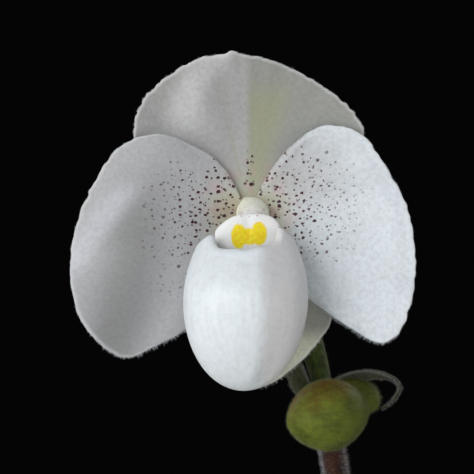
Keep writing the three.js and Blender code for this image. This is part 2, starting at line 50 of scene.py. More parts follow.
camera_data = bpy.data.cameras.new("camera")
camera_data.sensor_width = SENSOR
camera_data.lens = SENSOR * DISTANCE / FRAME_WIDTH
camera_data.clip_start = 0.01
camera = bpy.data.objects.new("camera", camera_data)
camera.location = (AXIS_X * MM, (BLOOM_AT[1] - DISTANCE) * MM, AXIS_Z * MM)
camera.rotation_euler = (np.pi / 2, 0, 0)
bpy.context.scene.collection.objects.link(camera)
bpy.context.scene.camera = camera
print("lens", round(camera_data.lens, 1), "mm")

# %% [markdown]
# ## Shader maths in plain Python
# A material in Blender is a graph of nodes. Written by hand, each sum or product in it takes three lines.
# The class `Wire` stands for one output socket, and Python's own operators on it add the Math nodes, so a
# mask can be written as `(a - b) * 0.5`. `Finish` is one material with one Principled shader; its method
# `node` adds any other node, and a few short methods name the ones used most. `over` works as a painter
# does: each call lays one more thin colour over the base.

# %% Wires
class Wire:
    """An output socket that Python's operators work on."""

    def __init__(self, finish, socket):
        self.finish, self.socket = finish, socket

    def maths(self, operation, *others):
        return self.finish.node("Math", {"operation": operation}, dict(enumerate((self, *others))))

    def __add__(self, other): return self.maths("ADD", other)
    def __sub__(self, other): return self.maths("SUBTRACT", other)
    def __mul__(self, other): return self.maths("MULTIPLY", other)
    def __truediv__(self, other): return self.maths("DIVIDE", other)
    def __pow__(self, other): return self.maths("POWER", other)
    def most(self, other): return self.maths("MAXIMUM", other)
    def least(self, other): return self.maths("MINIMUM", other)
    def size(self): return self.maths("ABSOLUTE")

# %% Finishes
class Finish:
    """One material. Even values are named as the shader's sockets, with _ for each space."""

    def __init__(self, name, **even):
        self.material = bpy.data.materials.new(name)
        self.material.use_nodes = True
        self.tree = self.material.node_tree
        self.shader = self.tree.nodes["Principled BSDF"]
        for socket, value in even.items():
            self.shader.inputs[socket.replace("_", " ")].default_value = value

    def node(self, kind, settings=None, sockets=None, out=0):
        made = self.tree.nodes.new("ShaderNode" + kind)
        for key, value in (settings or {}).items():
            setattr(made, key, value)
        for key, value in (sockets or {}).items():
            if isinstance(value, Wire):
                self.tree.links.new(value.socket, made.inputs[key])
            else:
                made.inputs[key].default_value = value
        return Wire(self, made.outputs[out])

    def drive(self, socket, wire):
        self.tree.links.new(wire.socket, self.shader.inputs[socket])

    def split(self, vector):
        made = self.node("SeparateXYZ", sockets={0: vector}).socket.node
        return [Wire(self, socket) for socket in made.outputs]

    def join(self, x, y, z=0.0):
        return self.node("CombineXYZ", sockets={0: x, 1: y, 2: z})

    def place(self):
        """x, y and z of a point of the piece in millimetres, in the piece's own axes."""
        return [axis * 1000 for axis in self.split(self.node("TexCoord", out="Object"))]

    def layer(self, name):
        """A number stored on the mesh's corners under that name."""
        return self.node("Attribute", {"attribute_name": name}, out="Fac")

    def step(self, value, low, high):
        """0 below low, 1 above high and smooth between; it falls where low is above high."""
        return self.node("MapRange", {"interpolation_type": "SMOOTHSTEP"}, {0: value, 1: low, 2: high})

    def noise(self, vector, scale, detail=3.0, roughness=0.55):
        sockets = {"Vector": vector, "Scale": scale, "Detail": detail, "Roughness": roughness}
        return self.node("TexNoise", sockets=sockets)

    def grain(self, scales, *more):
        """Noise at the piece's own place; scales are those of x, y and z, or one for all three."""
        place = [axis * scale for axis, scale in zip(self.place(), np.broadcast_to(scales, 3).tolist())]
        return self.noise(self.join(*place), 1.0, *more)

    def cells(self, vector):
        """A flat Voronoi pattern: the distance to the nearest seed, and two random numbers of its cell."""
        near = self.node("TexVoronoi", {"voronoi_dimensions": "2D"}, {"Vector": vector, "Scale": 1.0})
        return near, *self.split(Wire(self, near.socket.node.outputs["Color"]))[:2]

    def tint(self, share, a, b):
        """Colour a where share is 0 and colour b where it is 1."""
        return self.node("Mix", {"data_type": "RGBA"}, {0: share, 6: a, 7: b}, out=2)

    def over(self, share, *colour):
        """Lays a colour, or a wire that carries one, over the base colour: not at all at 0, fully at 1."""
        base = self.shader.inputs["Base Color"]
        below = Wire(self, base.links[0].from_socket) if base.links else tuple(base.default_value)
        above = ink(*colour) if len(colour) == 3 else colour[0]
        self.drive("Base Color", self.tint(share, below, above))

    def relief(self, height, depth):
        """Bump of that depth in millimetres from a height of 0 to 1."""
        bump = self.node("Bump", sockets={"Height": height, "Distance": depth * MM, "Strength": 1.0})
        self.drive("Normal", bump)

# %% Colours
def ink(red, green, blue):
    """A colour as a painter picks it, 0 to 255, in the linear values that a shader takes."""
    share = np.array([red, green, blue]) / 255
    linear = np.where(share < 0.04045, share / 12.92, ((share + 0.055) / 1.055) ** 2.4)
    return *linear.tolist(), 1.0


print("white paper as linear light:", [round(x, 2) for x in ink(230, 230, 228)])

# %% [markdown]
# ## Curves and number tools
# The same few functions shape every piece: a straight and a smooth blend between two values, and the
# smooth curve through given pairs. `route` turns a few points in space into an even, smooth path, which a
# stalk follows. They work on whole arrays of numbers at once, because that is fast.

# %% Blends
def mix(a, b, x):
    return a + (b - a) * x


def smooth(a, b, x):
    t = np.clip((np.asarray(x, float) - a) / (b - a), 0, 1)
    return t * t * (3 - 2 * t)


def unit(v):
    return v / np.maximum(np.linalg.norm(v, axis=-1, keepdims=True), 1e-9)


def bell(x, middle, width):
    """1 at the middle, and falling softly to 0 on both sides."""
    return np.exp(-(((x - middle) / width) ** 2))

# %% Smooth curves
def lengths_along(p):
    """The length of a line of points up to each of them."""
    return np.concatenate([[0], np.cumsum(np.linalg.norm(np.diff(p, axis=0), axis=1))])


def through(pairs, x):
    """The smooth curve through [x, y] pairs in rising x, read at x."""
    p = np.asarray(pairs, float)
    slope = np.gradient(p[:, 1], p[:, 0], edge_order=1)
    slope[1:-1] = (p[2:, 1] - p[:-2, 1]) / (p[2:, 0] - p[:-2, 0])
    x = np.asarray(x, float)
    i = np.clip(np.searchsorted(p[:, 0], x, side="right") - 1, 0, len(p) - 2)
    span = p[i + 1, 0] - p[i, 0]
    t = np.clip((x - p[i, 0]) / span, 0, 1)
    return ((2 * t**3 - 3 * t**2 + 1) * p[i, 1] + (t**3 - 2 * t**2 + t) * span * slope[i]
            + (3 * t**2 - 2 * t**3) * p[i + 1, 1] + (t**3 - t**2) * span * slope[i + 1])


def route(points, samples=400):
    """A function of a share of the length that gives the place on the smooth curve through the points."""
    p = np.asarray(points, float)
    p = np.vstack([2 * p[0] - p[1], p, 2 * p[-1] - p[-2]])
    knots = np.concatenate([[0], np.cumsum(np.sqrt(np.linalg.norm(np.diff(p, axis=0), axis=1)))])
    x = np.linspace(knots[1], knots[-2], samples)
    i = np.clip(np.searchsorted(knots, x, side="right") - 1, 1, len(p) - 3)
    k = [knots[i + n][:, None] for n in (-1, 0, 1, 2)]
    q = [p[i + n] for n in (-1, 0, 1, 2)]
    x = x[:, None]
    lerp = lambda a, b, ka, kb: a * (kb - x) / (kb - ka) + b * (x - ka) / (kb - ka)
    first = [lerp(q[n], q[n + 1], k[n], k[n + 1]) for n in range(3)]
    second = [lerp(first[n], first[n + 1], k[n], k[n + 2]) for n in range(2)]
    line = lerp(second[0], second[1], k[1], k[2])
    run = lengths_along(line)
    return lambda s: np.stack([np.interp(np.asarray(s, float) * run[-1], run, axis) for axis in line.T], -1)


print("halfway from 0 to 10 on a bent curve:", through([[0, 0], [5, 8], [10, 10]], 5.0))

# %% [markdown]
# ## Three ways to make a mesh
# A petal, a leaf and a bract are all thin sheets, so `sheet_about` gives any surface two faces and a
# rounded rim. A stalk and a bud are closed skins over rings, which `skin` makes. Hairs are real needles,
# because a particle system would be lost when the model is exported.

# %% Pieces
BLOOM_PLACE = Matrix.Translation(Vector(BLOOM_AT) * MM) @ Matrix.Rotation(np.pi / 2, 4, "X")


def piece(name, corners, faces, finish, slot, replaces=(), layers=None, bloom=False):
    """A mesh object of corners in millimetres; the bloom's axes point right, up and to the viewer."""
    mesh = bpy.data.meshes.new(name)
    mesh.from_pydata((np.asarray(corners) * MM).tolist(), [], faces)
    mesh.polygons.foreach_set("use_smooth", np.ones(len(mesh.polygons), bool))
    for key, values in (layers or {}).items():
        mesh.attributes.new(key, "FLOAT", "POINT").data.foreach_set("value", np.asarray(values, np.float32))
    mesh.materials.append(finish.material)
    made = bpy.data.objects.new(name, mesh)
    bpy.context.scene.collection.objects.link(made)
    if bloom:
        made.matrix_world = BLOOM_PLACE
    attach(made, "root")
    if replaces:
        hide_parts(*replaces)
    print(name, len(mesh.vertices), "corners,", len(mesh.polygons), "faces")
    return made

# %% Sheets
def net(rows, columns, wrap=False):
    """Faces of a net of corners that are numbered row by row."""
    i, j = np.meshgrid(np.arange(rows - 1), np.arange(columns if wrap else columns - 1), indexing="ij")
    a, b = i * columns + j, i * columns + (j + 1) % columns
    return np.stack([a, a + columns, b + columns, b], -1).reshape(-1, 4)


def sheet_about(surface, rows, columns, thickness):
    """A sheet about surface(s, t): corners, faces, and layers that keep s, t and the side of each corner."""
    s, t = np.meshgrid(np.linspace(0, 1, rows + 1), np.linspace(0, 1, columns + 1), indexing="ij")
    e = 1e-3
    se, te = np.clip(s, e, 1 - e), np.clip(t, e, 1 - e)
    middle = surface(s, t)
    along = unit(surface(se + e, te) - surface(se - e, te))
    across = unit(surface(se, te + e) - surface(se, te - e))
    normal = unit(np.cross(along, across))
    half = thickness(s, t)[..., None] / 2
    front, back = middle + normal * half, middle - normal * half
    width, count = columns + 1, (rows + 1) * (columns + 1)
    numbers = np.arange(count).reshape(rows + 1, width)
    loop = np.concatenate([numbers[0, :-1], numbers[:-1, -1], numbers[-1, :0:-1], numbers[:0:-1, 0]])
    outward = np.zeros_like(middle)
    outward[0] -= along[0]
    outward[-1] += along[-1]
    outward[:, 0] -= across[:, 0]
    outward[:, -1] += across[:, -1]
    flat = lambda a: a.reshape(count, -1)
    rim = flat(middle)[loop] + unit(flat(outward)[loop]) * flat(half)[loop] * 0.9
    corners = np.concatenate([flat(front), flat(back), rim])
    top = net(rows + 1, width)
    k = np.arange(len(loop))
    nxt = (k + 1) % len(loop)
    r = 2 * count
    edge = np.concatenate([
        np.stack([loop[k], loop[nxt], r + nxt, r + k], -1),
        np.stack([r + k, r + nxt, loop[nxt] + count, loop[k] + count], -1),
    ])
    faces = np.concatenate([top, top[:, ::-1] + count, edge]).tolist()
    s, t = s.ravel(), t.ravel()
    layers = {
        "out": np.concatenate([s, s, s[loop]]),
        "over": np.concatenate([t, t, t[loop]]),
        "side": np.concatenate([np.ones(count), -np.ones(count), np.zeros(len(loop))]),
    }
    return corners, faces, layers

# %% Rings and skins
def circle(sides):
    return np.linspace(0, 2 * np.pi, sides, endpoint=False)


def ring(angle, radius, z, x=0.0, y=0.0):
    """A level ring of corners about x, y."""
    return np.stack([x + radius * np.cos(angle), y + radius * np.sin(angle), z + 0 * angle], -1)


def skin(rings):
    """A closed skin over rings of corners, an array of shape (rings, corners, 3), ended by a point each."""
    rows, columns = rings.shape[:2]
    ends = np.stack([rings[0].mean(0), rings[-1].mean(0)])
    corners = np.concatenate([rings.reshape(-1, 3), ends])
    faces = net(rows, columns, wrap=True)[:, ::-1]
    j = np.arange(columns)
    first = np.stack([np.full(columns, rows * columns), (j + 1) % columns, j], -1)
    last_row = (rows - 1) * columns
    last = np.stack([last_row + j, last_row + (j + 1) % columns, np.full(columns, rows * columns + 1)], -1)
    return corners, faces.tolist() + first.tolist() + last.tolist()


def stalk_rings(path, radius, steps, sides, start=(0.0, 0.0, 1.0)):
    """Rings of radius(s, angle) along a path, turned as little as possible from one to the next."""
    s = np.linspace(0, 1, steps + 1)
    centre = path(s)
    ahead = unit(np.gradient(centre, axis=0))
    side = np.asarray(start, float)
    if abs(side @ ahead[0]) > 0.9:
        side = np.array([1.0, 0.0, 0.0])
    angle = circle(sides)
    rings = []
    for i in range(steps + 1):
        side = unit(side - ahead[i] * (side @ ahead[i]))
        up = np.cross(ahead[i], side)
        reach = np.broadcast_to(radius(s[i], angle), angle.shape)[:, None]
        rings.append(centre[i] + reach * (side * np.cos(angle)[:, None] + up * np.sin(angle)[:, None]))
    return np.array(rings)


def gathered(parts):
    """Several (corners, faces) as one mesh."""
    corners, faces, start = [], [], 0
    for c, f in parts:
        corners.append(c)
        faces += [[n + start for n in face] for face in f]
        start += len(c)
    return np.concatenate(corners), faces

# %% Hairs
def needles(roots, ways, lengths, radius, curl, random):
    """Hairs as closed three-sided needles that bend a little: corners and faces."""
    way = unit(ways)
    aside = unit(np.cross(way, np.where(np.abs(way[:, 2:]) < 0.9, [[0.0, 0.0, 1.0]], [[1.0, 0.0, 0.0]])))
    up = np.cross(way, aside)
    turn = random.uniform(0, 2 * np.pi, (len(roots), 1))
    bend = (aside * np.cos(turn) + up * np.sin(turn)) * curl
    lengths = np.asarray(lengths, float)[:, None]
    corners = []
    for share, width in ((0.0, 1.0), (0.5, 0.7)):
        centre = roots + lengths * (way * share + bend * share**2)
        for angle in (0, 2 * np.pi / 3, 4 * np.pi / 3):
            corners.append(centre + (aside * np.cos(angle) + up * np.sin(angle)) * radius * width)
    corners.append(roots + lengths * (way + bend))
    base = 7 * np.arange(len(roots))[:, None]
    quads = np.concatenate([base + np.array(q) for q in ((0, 1, 4, 3), (1, 2, 5, 4), (2, 0, 3, 5))]).tolist()
    tips = ((3, 4, 6), (4, 5, 6), (5, 3, 6), (2, 1, 0))
    tris = np.concatenate([base + np.array(q) for q in tips]).tolist()
    return np.stack(corners, 1).reshape(-1, 3), quads + tris


def roots_on(made, count, random, keep=None):
    """Random places on an object's mesh and the mesh's normals there, in the piece's own millimetres."""
    mesh = made.data
    mesh.calc_loop_triangles()
    corner = np.array([v.co for v in mesh.vertices]) / MM
    tri = np.array([t.vertices for t in mesh.loop_triangles])
    a, b, c = corner[tri[:, 0]], corner[tri[:, 1]], corner[tri[:, 2]]
    normal = np.cross(b - a, c - a)
    area = np.linalg.norm(normal, axis=1)
    if keep is not None:
        area = area * keep((a + b + c) / 3, unit(normal))
    pick = random.choice(len(tri), count, p=area / area.sum())
    x, y = random.random((2, count, 1))
    x, y = np.where(x + y > 1, 1 - x, x), np.where(x + y > 1, 1 - y, y)
    return a[pick] + (b - a)[pick] * x + (c - a)[pick] * y, unit(normal[pick])


flat_sheet = sheet_about(lambda s, t: np.stack([s, t, s * 0], -1), 4, 4, lambda s, t: s * 0 + 0.1)
print("a flat sheet of 4 by 4 squares has", len(flat_sheet[0]), "corners")

# %% [markdown]
# ## Light and floor
# The photograph has a soft light from the left and a little above, weak ones from the other sides, and a
# dark ground. Square area lamps do that: one strong, four weak, and two from behind that light the hairs.
# The world adds a little grey so that no side of the plant is black, while the camera sees it as nearly
# black.

# %% Lamps
LAMP_DISTANCE = 0.9  # metres
LAMPS = [  # name, azimuth, elevation, size in metres, watts
    ("front", 6, 4, 0.5, 0.85), ("side", -62, -4, 0.36, 1.3), ("fill", 50, -3, 0.4, 1.0),
    ("top", 0, 80, 0.4, 0.7), ("rim_left", -130, 25, 0.35, 2.0), ("rim_right", 130, 25, 0.35, 2.0),
]


def softbox(name, azimuth, elevation, size, watts, colour=(1.0, 1.0, 1.0)):
    """A square lamp that faces the bloom. Azimuth 0 is the viewer's side, and it grows to the right."""
    data = bpy.data.lights.new(name, "AREA")
    data.size, data.energy, data.color = size, watts, colour
    lamp = bpy.data.objects.new(name, data)
    a, e = np.radians(azimuth), np.radians(elevation)
    away = Vector((np.sin(a) * np.cos(e), -np.cos(a) * np.cos(e), np.sin(e)))
    lamp.location = Vector(BLOOM_AT) * MM + away * LAMP_DISTANCE
    lamp.rotation_euler = (-away).to_track_quat("-Z", "Y").to_euler()
    bpy.context.scene.collection.objects.link(lamp)


softbox("key", -36, 17, 0.6, 4.9, (0.97, 0.985, 1.0))
for lamp in LAMPS:
    softbox(*lamp)

# %% World
world = bpy.data.worlds.new("world")
world.use_nodes = True
bpy.context.scene.world = world
tree = world.node_tree
sky = tree.nodes["Background"]
sky.inputs["Color"].default_value = (0.06, 0.06, 0.063, 1)
ground = tree.nodes.new("ShaderNodeBackground")
ground.inputs["Color"].default_value = (0.0015, 0.0015, 0.0017, 1)
rays = tree.nodes.new("ShaderNodeLightPath")
either = tree.nodes.new("ShaderNodeMixShader")
tree.links.new(rays.outputs["Is Camera Ray"], either.inputs["Fac"])
tree.links.new(sky.outputs[0], either.inputs[1])
tree.links.new(ground.outputs[0], either.inputs[2])
tree.links.new(either.outputs[0], tree.nodes["World Output"].inputs["Surface"])
bpy.context.scene.view_settings.view_transform = "Standard"

# %% Floor
floor_finish = Finish("floor paint", Roughness=0.8, Base_Color=ink(205, 204, 200))
bpy.ops.mesh.primitive_circle_add(vertices=128, radius=1.4, fill_type="NGON", location=(0, 0, -0.0006))
floor = bpy.context.object
floor.name = "floor"
floor.data.materials.append(floor_finish.material)
print("lamps and floor are set")

# %% [markdown]
# ## The white of the tepals
# The tepals are soft white with a greenish cream at their bases, faint veins that fan out from the claw,
# and fine maroon dots that thin out with the distance from the centre. Light passes into them, which the
# shader's subsurface part gives. The veins follow the mesh's own layers `out` and `over`, so they fan as
# the petal does. The dots are Voronoi seeds: each cell has one, a cell's random number says whether it is
# coloured, and another how large it is. Broad soft masks, in millimetres from the bloom's centre, lay on
# what else the eye sees there: a blush, an olive stripe on the hood, and painted shade and painted
# highlights where each tepal is greyer or paler. The left petal and the hood are greyer all over, also
# painted shade, and a paler line round each margin is painted rim light.

# %% Dots
MAROON = (68, 26, 40)
LONG = 1.15  # a dot's width over its height


def maroon_dots(m, x, y, density, cell, least=0.09, most=0.2, swell=1.0):
    """Dots a little wider than high; least and most are their radii as shares of the cell."""
    wobble = m.noise(m.join(x, y), 1.1, 2.0) * 0.35
    near, chance, size = m.cells(m.join(x / (cell * LONG) + wobble, y / cell + wobble))
    present = m.step(density - chance, 0.0, 0.04)
    reach = (size * size * (most - least) + least) * swell
    return present * m.step(near - reach, 0.045, -0.035)


def oval(x, y, cx, cy, half, high):
    """0 in the middle of an oval and 1 on its edge."""
    return ((x - cx) / half) ** 2 + ((y - cy) / high) ** 2


def patch_mask(m, x, y, *place):
    """1 in the middle of an oval and 0 well outside it."""
    edge = m.noise(m.join(x, y), 0.22, 2.0) * 0.9 - 0.45
    return m.step(oval(x, y, *place) + edge, 1.5, 0.1)

# %% Finish of one tepal
def tepal_finish(name, white, density=None, greens=0.0, olive=None, veins=55.0, tones=()):
    """density places the dots and olive a yellow-green; tones are (share, colour) of painted shade and
    highlights.
    """
    m = Finish(name, Base_Color=white, Roughness=0.5, Subsurface_Weight=0.2, Subsurface_Scale=0.0007,
               Subsurface_Radius=(1.0, 0.95, 0.85), Specular_IOR_Level=0.3, Sheen_Weight=0.12)
    x, y, _ = m.place()
    r = (x * x + y * y) ** 0.5
    out, over = m.layer("out"), m.layer("over")
    fan = m.noise(m.join(over * veins, out * 2.2), 1.0, 2.0)
    fine = m.noise(m.join(over * veins * 4, out * 14), 1.0, 2.0)
    cloud = m.noise(m.join(x * 0.12, y * 0.12), 1.0, 2.0)
    m.over(m.step(fan, 0.4, 0.66) * 0.07, 190, 192, 189)
    m.over(m.step(cloud, 0.4, 0.7) * 0.15, 200, 202, 204)
    for share, *tone in tones:
        m.over(share(m, x, y, r), *tone)
    mottle = m.noise(m.join(x, y), 0.9, 4.0, 0.7)
    m.over(m.step(mottle, 0.38, 0.66) * 0.17, 110, 110, 112)
    m.over(m.step(r, 15, 3) * (0.3 + greens), 210, 213, 178)
    if olive:
        m.over(olive(m, x, y, r), 168, 172, 112)
    if density:
        blush = m.step(m.noise(m.join(x * 0.3, y * 0.3), 1.0, 1.0), 0.45, 0.64) * m.step(r, 15, 6)
        m.over(blush * 0.35, 208, 150, 168)
        beside = m.step(r + fan * 3, 13.5, 6) * m.step(y, 6, 3)
        m.over(beside * 0.7, 184, 181, 152)
        band = m.step(r, 10, 6) * m.step(y.size(), 1.9, 0.4) * m.step(mottle, 0.3, 0.6)
        m.over(band * 0.45, 172, 132, 120)
        share = density(m, x, y, r)
        swell = m.step(r, 17, 5) * 0.4 + 0.9
        large = maroon_dots(m, x, y, share * 0.8, 1.75, 0.12, 0.22, swell) * m.step(r, 34, 14)
        small = maroon_dots(m, x + 31.7, y - 12.3, share * 0.85, 1.35, 0.1, 0.18, swell) * m.step(r, 36, 10)
        shown = m.step(m.layer("side"), 0.6, -0.6) * 0.75 + 0.25
        m.over(large.most(small * 0.85) * shown, *MAROON)
    # A paler line round the outer margin: painted rim light.
    m.over(m.step(out, 0.98, 0.997) * 0.35, 232, 233, 234)
    m.relief(fan * 0.06 + fine * 0.05 + m.noise(m.join(x, y), 1.3, 3.0) * 0.89, 0.14)
    return m

# %% Masks of the tepals
# Each mask takes a finish, the place x, y and its distance r from the bloom's centre.
def left_dots(m, x, y, r):
    lower = patch_mask(m, x, y, -15, -12, 11, 11) * 0.55
    return m.step(r, 2.8, 4.5) * patch_mask(m, x, y, -10.5, -0.5, 15, 13).most(lower)


def right_dots(m, x, y, r):
    return m.step(r, 2.8, 4.5) * patch_mask(m, x, y, 12.5, 1.5, 16, 13.5)


def hood_dots(m, x, y, r):
    return m.step(x.size(), 1.5, 0.8) * m.step(y, 5, 6) * m.step(y, 16, 11) * 1.3


def hood_olive(m, x, y, r):
    """A stripe right of the middle, and a fine line on either side of it."""
    right_side = m.step(x, -1.2, 1.0) * m.step(x - y * 0.3, 4, -2)
    left_line, right_line = (m.step((m.layer("over") - at).size(), 0.012, 0.0) for at in (0.405, 0.6))
    lines = left_line.most(right_line) * m.step(r, 27, 15)
    return (right_side * 0.36).most(lines * 0.3) * m.step(y, 4, 8) * m.step(y, 33, 24)


def hood_fold_painted_highlight(m, x, y, r):
    """A paler band that bends from the left of the hood to its tip: painted highlight of the hood's fold."""
    middle = (y * 0.0714 - 1.43).most(0) ** 2 * 6 - 15.5
    return m.step((x - middle).size(), 6.5, 0.5) * m.step(y, 13, 24)


# A grey band down the left petal to its tip: painted shade of its trough.
def left_trough_painted_shade(m, x, y, r):
    middle = y * 0.2 - 25
    return m.step((x - middle).size(), 12, 1) * m.step(y, 12, -6)


# A paler diagonal band on the left petal: painted highlight of a fold.
def left_fold_painted_highlight(m, x, y, r):
    return m.step((x - y * 0.75 + 32.5).size(), 6, 0.5) * m.step(y, 9, 3) * m.step(y, -22, -10)


# The right petal is greyer towards the bloom's centre, most in its upper part: painted shade.
def painted_shade_near_centre(m, x, y, r):
    return m.step(r, 34, 10) * (m.step(y, -4, 8) * 0.75 + 0.25)


# The right half of the hood is greyer: painted shade.
def hood_right_half_painted_shade(m, x, y, r):
    return m.step(x, -1.4, 1.0)


# The synsepal's upper right, beside the pouch, is greyer: painted shadow of the pouch.
def sepal_painted_pouch_shadow(m, x, y, r):
    return m.step(y, -31, -26) * m.step(x, 8, 13)

# %% Finishes of the tepals
# The left petal's white is greyer than the right petal's: painted shade of a petal that faces away from the
# key lamp.
left_white_painted_shade = tepal_finish(
    "white petal with dots, left, painted shade", ink(189, 189, 191), left_dots,
    tones=[(left_trough_painted_shade, 156, 156, 156), (left_fold_painted_highlight, 206, 206, 212)])
right_white = tepal_finish(
    "white petal with dots, right", ink(230, 237, 243), right_dots, tones=[(painted_shade_near_centre, 194, 194, 195)])
# The hood's white is greyer than the right petal's: painted shade.
hood_white_painted_shade = tepal_finish(
    "white hood, painted shade", ink(182, 182, 181), hood_dots, 0.1, hood_olive, 34.0,
    tones=[(hood_fold_painted_highlight, 216, 216, 216), (hood_right_half_painted_shade, 162, 163, 158)])
sepal_white = tepal_finish(
    "white sepal", ink(230, 232, 212), greens=0.15, tones=[(sepal_painted_pouch_shadow, 172, 173, 164)])
hair_white = Finish("white hairs", Roughness=0.6, Base_Color=ink(164, 160, 166), Subsurface_Weight=0.4,
                    Subsurface_Scale=0.0005)
fringe_white = Finish("white fringe", Roughness=0.5, Base_Color=ink(214, 216, 220), Subsurface_Weight=0.3,
                      Subsurface_Scale=0.0005)
print("tepal finishes:", left_white_painted_shade.material.name, "and three more")

# %% [markdown]
# ## The tepals
# A tepal is a fan: it starts at a claw round the bloom's centre and reaches a margin that was read off the
# photograph, point by point. Straight rays join the two, and a depth that grows with the distance dishes
# the fan towards the viewer. The margins wave a little, and carry a fringe of short hairs that catches the
# light. The fringe is longer where a margin faces down. The hood is what the CAD model calls the dorsal
# sepal, and the synsepal is the pair of lower sepals grown together.

# %% Margins
HOOD_MARGIN = [
    (-24.8, 12.4), (-26.4, 18.3), (-24.4, 25.1), (-18.9, 30.6), (-11.1, 35), (-5.9, 35.9), (-3.8, 36.6),
    (-2, 36), (4.7, 34.7), (13.7, 30.6), (22.3, 24.4), (26.2, 18.5), (25, 12),
]
LEFT_MARGIN = [
    (-4.6, -8), (-8.6, -18.5), (-13.6, -26), (-21.6, -30.6), (-28.4, -33), (-34, -29.5), (-38.3, -24.1),
    (-40.7, -16.7), (-40.9, -9.5), (-38.9, -1), (-35.4, 6.6), (-29.7, 14.7), (-20.6, 17.7), (-10.2, 13.7),
    (-5.6, 9.8), (-3, 5.6),
]
RIGHT_MARGIN = [
    (3.2, 6.3), (6, 10.9), (9.5, 15), (16.8, 19.6), (25, 18.1), (30.1, 11.9), (35.7, 1.5), (37.5, -8),
    (37.4, -16.8), (34.9, -25.6), (32.2, -29), (29.1, -29.7), (24.3, -27.2), (17.5, -22.7), (10, -16.6),
    (5, -8.4),
]
SYNSEPAL_MARGIN = [
    (9.5, -9.5), (16.5, -17.5), (19, -24.6), (16.2, -29.6), (11.1, -35.2), (3, -40.2), (-4, -38), (-10, -32),
    (-12.3, -25.1), (-10.2, -18.1), (-6.2, -10),
]

# %% Fans
CLAW = 2.9  # the claw's radius


def nicks(t, seed, count=34):
    """A fine, uneven scallop round a margin, about from -1 to 1."""
    random = np.random.default_rng(seed)
    waves = random.uniform(14, 62, count)
    return sum(np.sin(2 * np.pi * (w * t + random.random())) * (20 / w) for w in waves) / count**0.5 / 1.1


def outline(points):
    """The smooth line through the points as a function of a share of its length."""
    p = np.asarray(points, float)
    run = lengths_along(p)
    return lambda t: np.stack([through(np.stack([run, axis], 1), t * run[-1]) for axis in p.T], -1)


def tepal_surface(margin, claw_from, claw_to, depth, scallop, seed):
    line = outline(margin)

    def edge(t):
        nick = scallop * nicks(t, seed) * smooth(0, 0.05, t) * smooth(1, 0.95, t)
        return line(t) + unit(line(t)) * nick[..., None]

    def surface(s, t):
        angle = np.radians(mix(claw_from, claw_to, t))
        claw = CLAW * np.stack([np.cos(angle), np.sin(angle)], -1)
        flat = mix(claw, edge(t), s[..., None])
        r = np.linalg.norm(flat, axis=-1)
        return np.concatenate([flat, depth(r, t, s)[..., None]], -1)

    return surface

# %% Depths
def ripple(t, waves, phase):
    return np.sin(2 * np.pi * waves * t + phase) + 0.6 * np.sin(2 * np.pi * waves * 1.73 * t + 2.1 * phase)


def hood_depth(r, t, s):
    """The hood comes forward near its base, under the petals, and has one fold."""
    fold = 1.1 * bell(t, 0.33, 0.09) * smooth(0.25, 0.6, s)
    lifted = -2.4 + 0.9 * bell(r, 0, 7) + 1.1 * bell(r, 12, 7)
    return lifted + 12 * (r / 38) ** 2 + fold + 0.1 * s**4 * ripple(t, 9, 0.4)


def right_depth(r, t, s):
    swell = 0.3 * s * np.sin(5 * np.pi * t) + 0.35 * s**3 * ripple(t, 6, 2.9)
    return -0.2 + 16.5 * (r / 46) ** 1.55 - 1.2 * smooth(0.86, 1, s) + swell


def left_depth(r, t, s):
    """The left petal flattens towards its upper left margin, and a shallow trough runs down to its tip."""
    level = smooth(0.36, 0.52, t) * smooth(1.0, 0.85, t)
    trough = -0.9 * bell(t, 0.5, 0.13) * smooth(0.3, 0.62, s) * smooth(1.05, 0.75, s)
    swell = 0.25 * s**3 * ripple(t, 5, 0.7)
    return -0.2 + 17 * (r / 46) ** 1.5 - level * 0.024 * np.maximum(0, r - 22) ** 2 + trough + swell


def synsepal_depth(r, t, s):
    return -3.2 + 5.5 * (r / 40) ** 2 + 0.3 * s * np.cos(9 * np.pi * (t - 0.5))


def blade_thickness(s, t):
    return mix(0.95, 0.35, smooth(0.35, 1.0, s))

# %% Fringes
TUFT = 0.42  # from one tuft to the next


def fringe(name, surface, per_mm, length, seed, slot, finish=hair_white, radius=0.023, reach=None):
    """Short hairs along the margin of a sheet in uneven tufts; reach(at, out) is a share of their length."""
    random = np.random.default_rng(seed)
    t = np.linspace(0.02, 0.98, 600)
    run = lengths_along(surface(np.ones_like(t), t))
    count = int(run[-1] * per_mm)
    where = random.uniform(0, run[-1], count)
    tufts = int(run[-1] / TUFT)
    middles = (np.arange(tufts) + random.uniform(0.1, 0.9, tufts)) * TUFT
    nearest = np.abs(where[:, None] - middles).argmin(1)
    t = np.interp(where, run, t)
    one = np.ones(count)
    at = surface(one * 0.997, t)
    along = unit(surface(one, t + 1e-3) - surface(one, t - 1e-3))
    out = surface(one, t) - surface(one * 0.97, t)
    out = unit(out - along * (out * along).sum(-1, keepdims=True))
    lengths = length * random.uniform(0.6, 1.1, count) * random.uniform(0.4, 1.2, tufts)[nearest]
    if reach:
        lengths = lengths * reach(at, out)
    together = along * ((middles[nearest] - where) / lengths * 0.8)[:, None]
    way = out + together + random.normal(0, 0.22, (count, 3))
    shown = lengths > 0.08
    corners, faces = needles(at[shown], way[shown], lengths[shown], radius, 0.3, random)
    piece(name, corners, faces, finish, slot, bloom=True)


def petal_hairs(at, out):
    """Long where the margin faces down, short round the rest of it, none where the petal lies on others."""
    return (0.5 + 0.45 * smooth(-0.35, -0.85, out[:, 1])) * smooth(12, 17, np.linalg.norm(at[:, :2], axis=1))

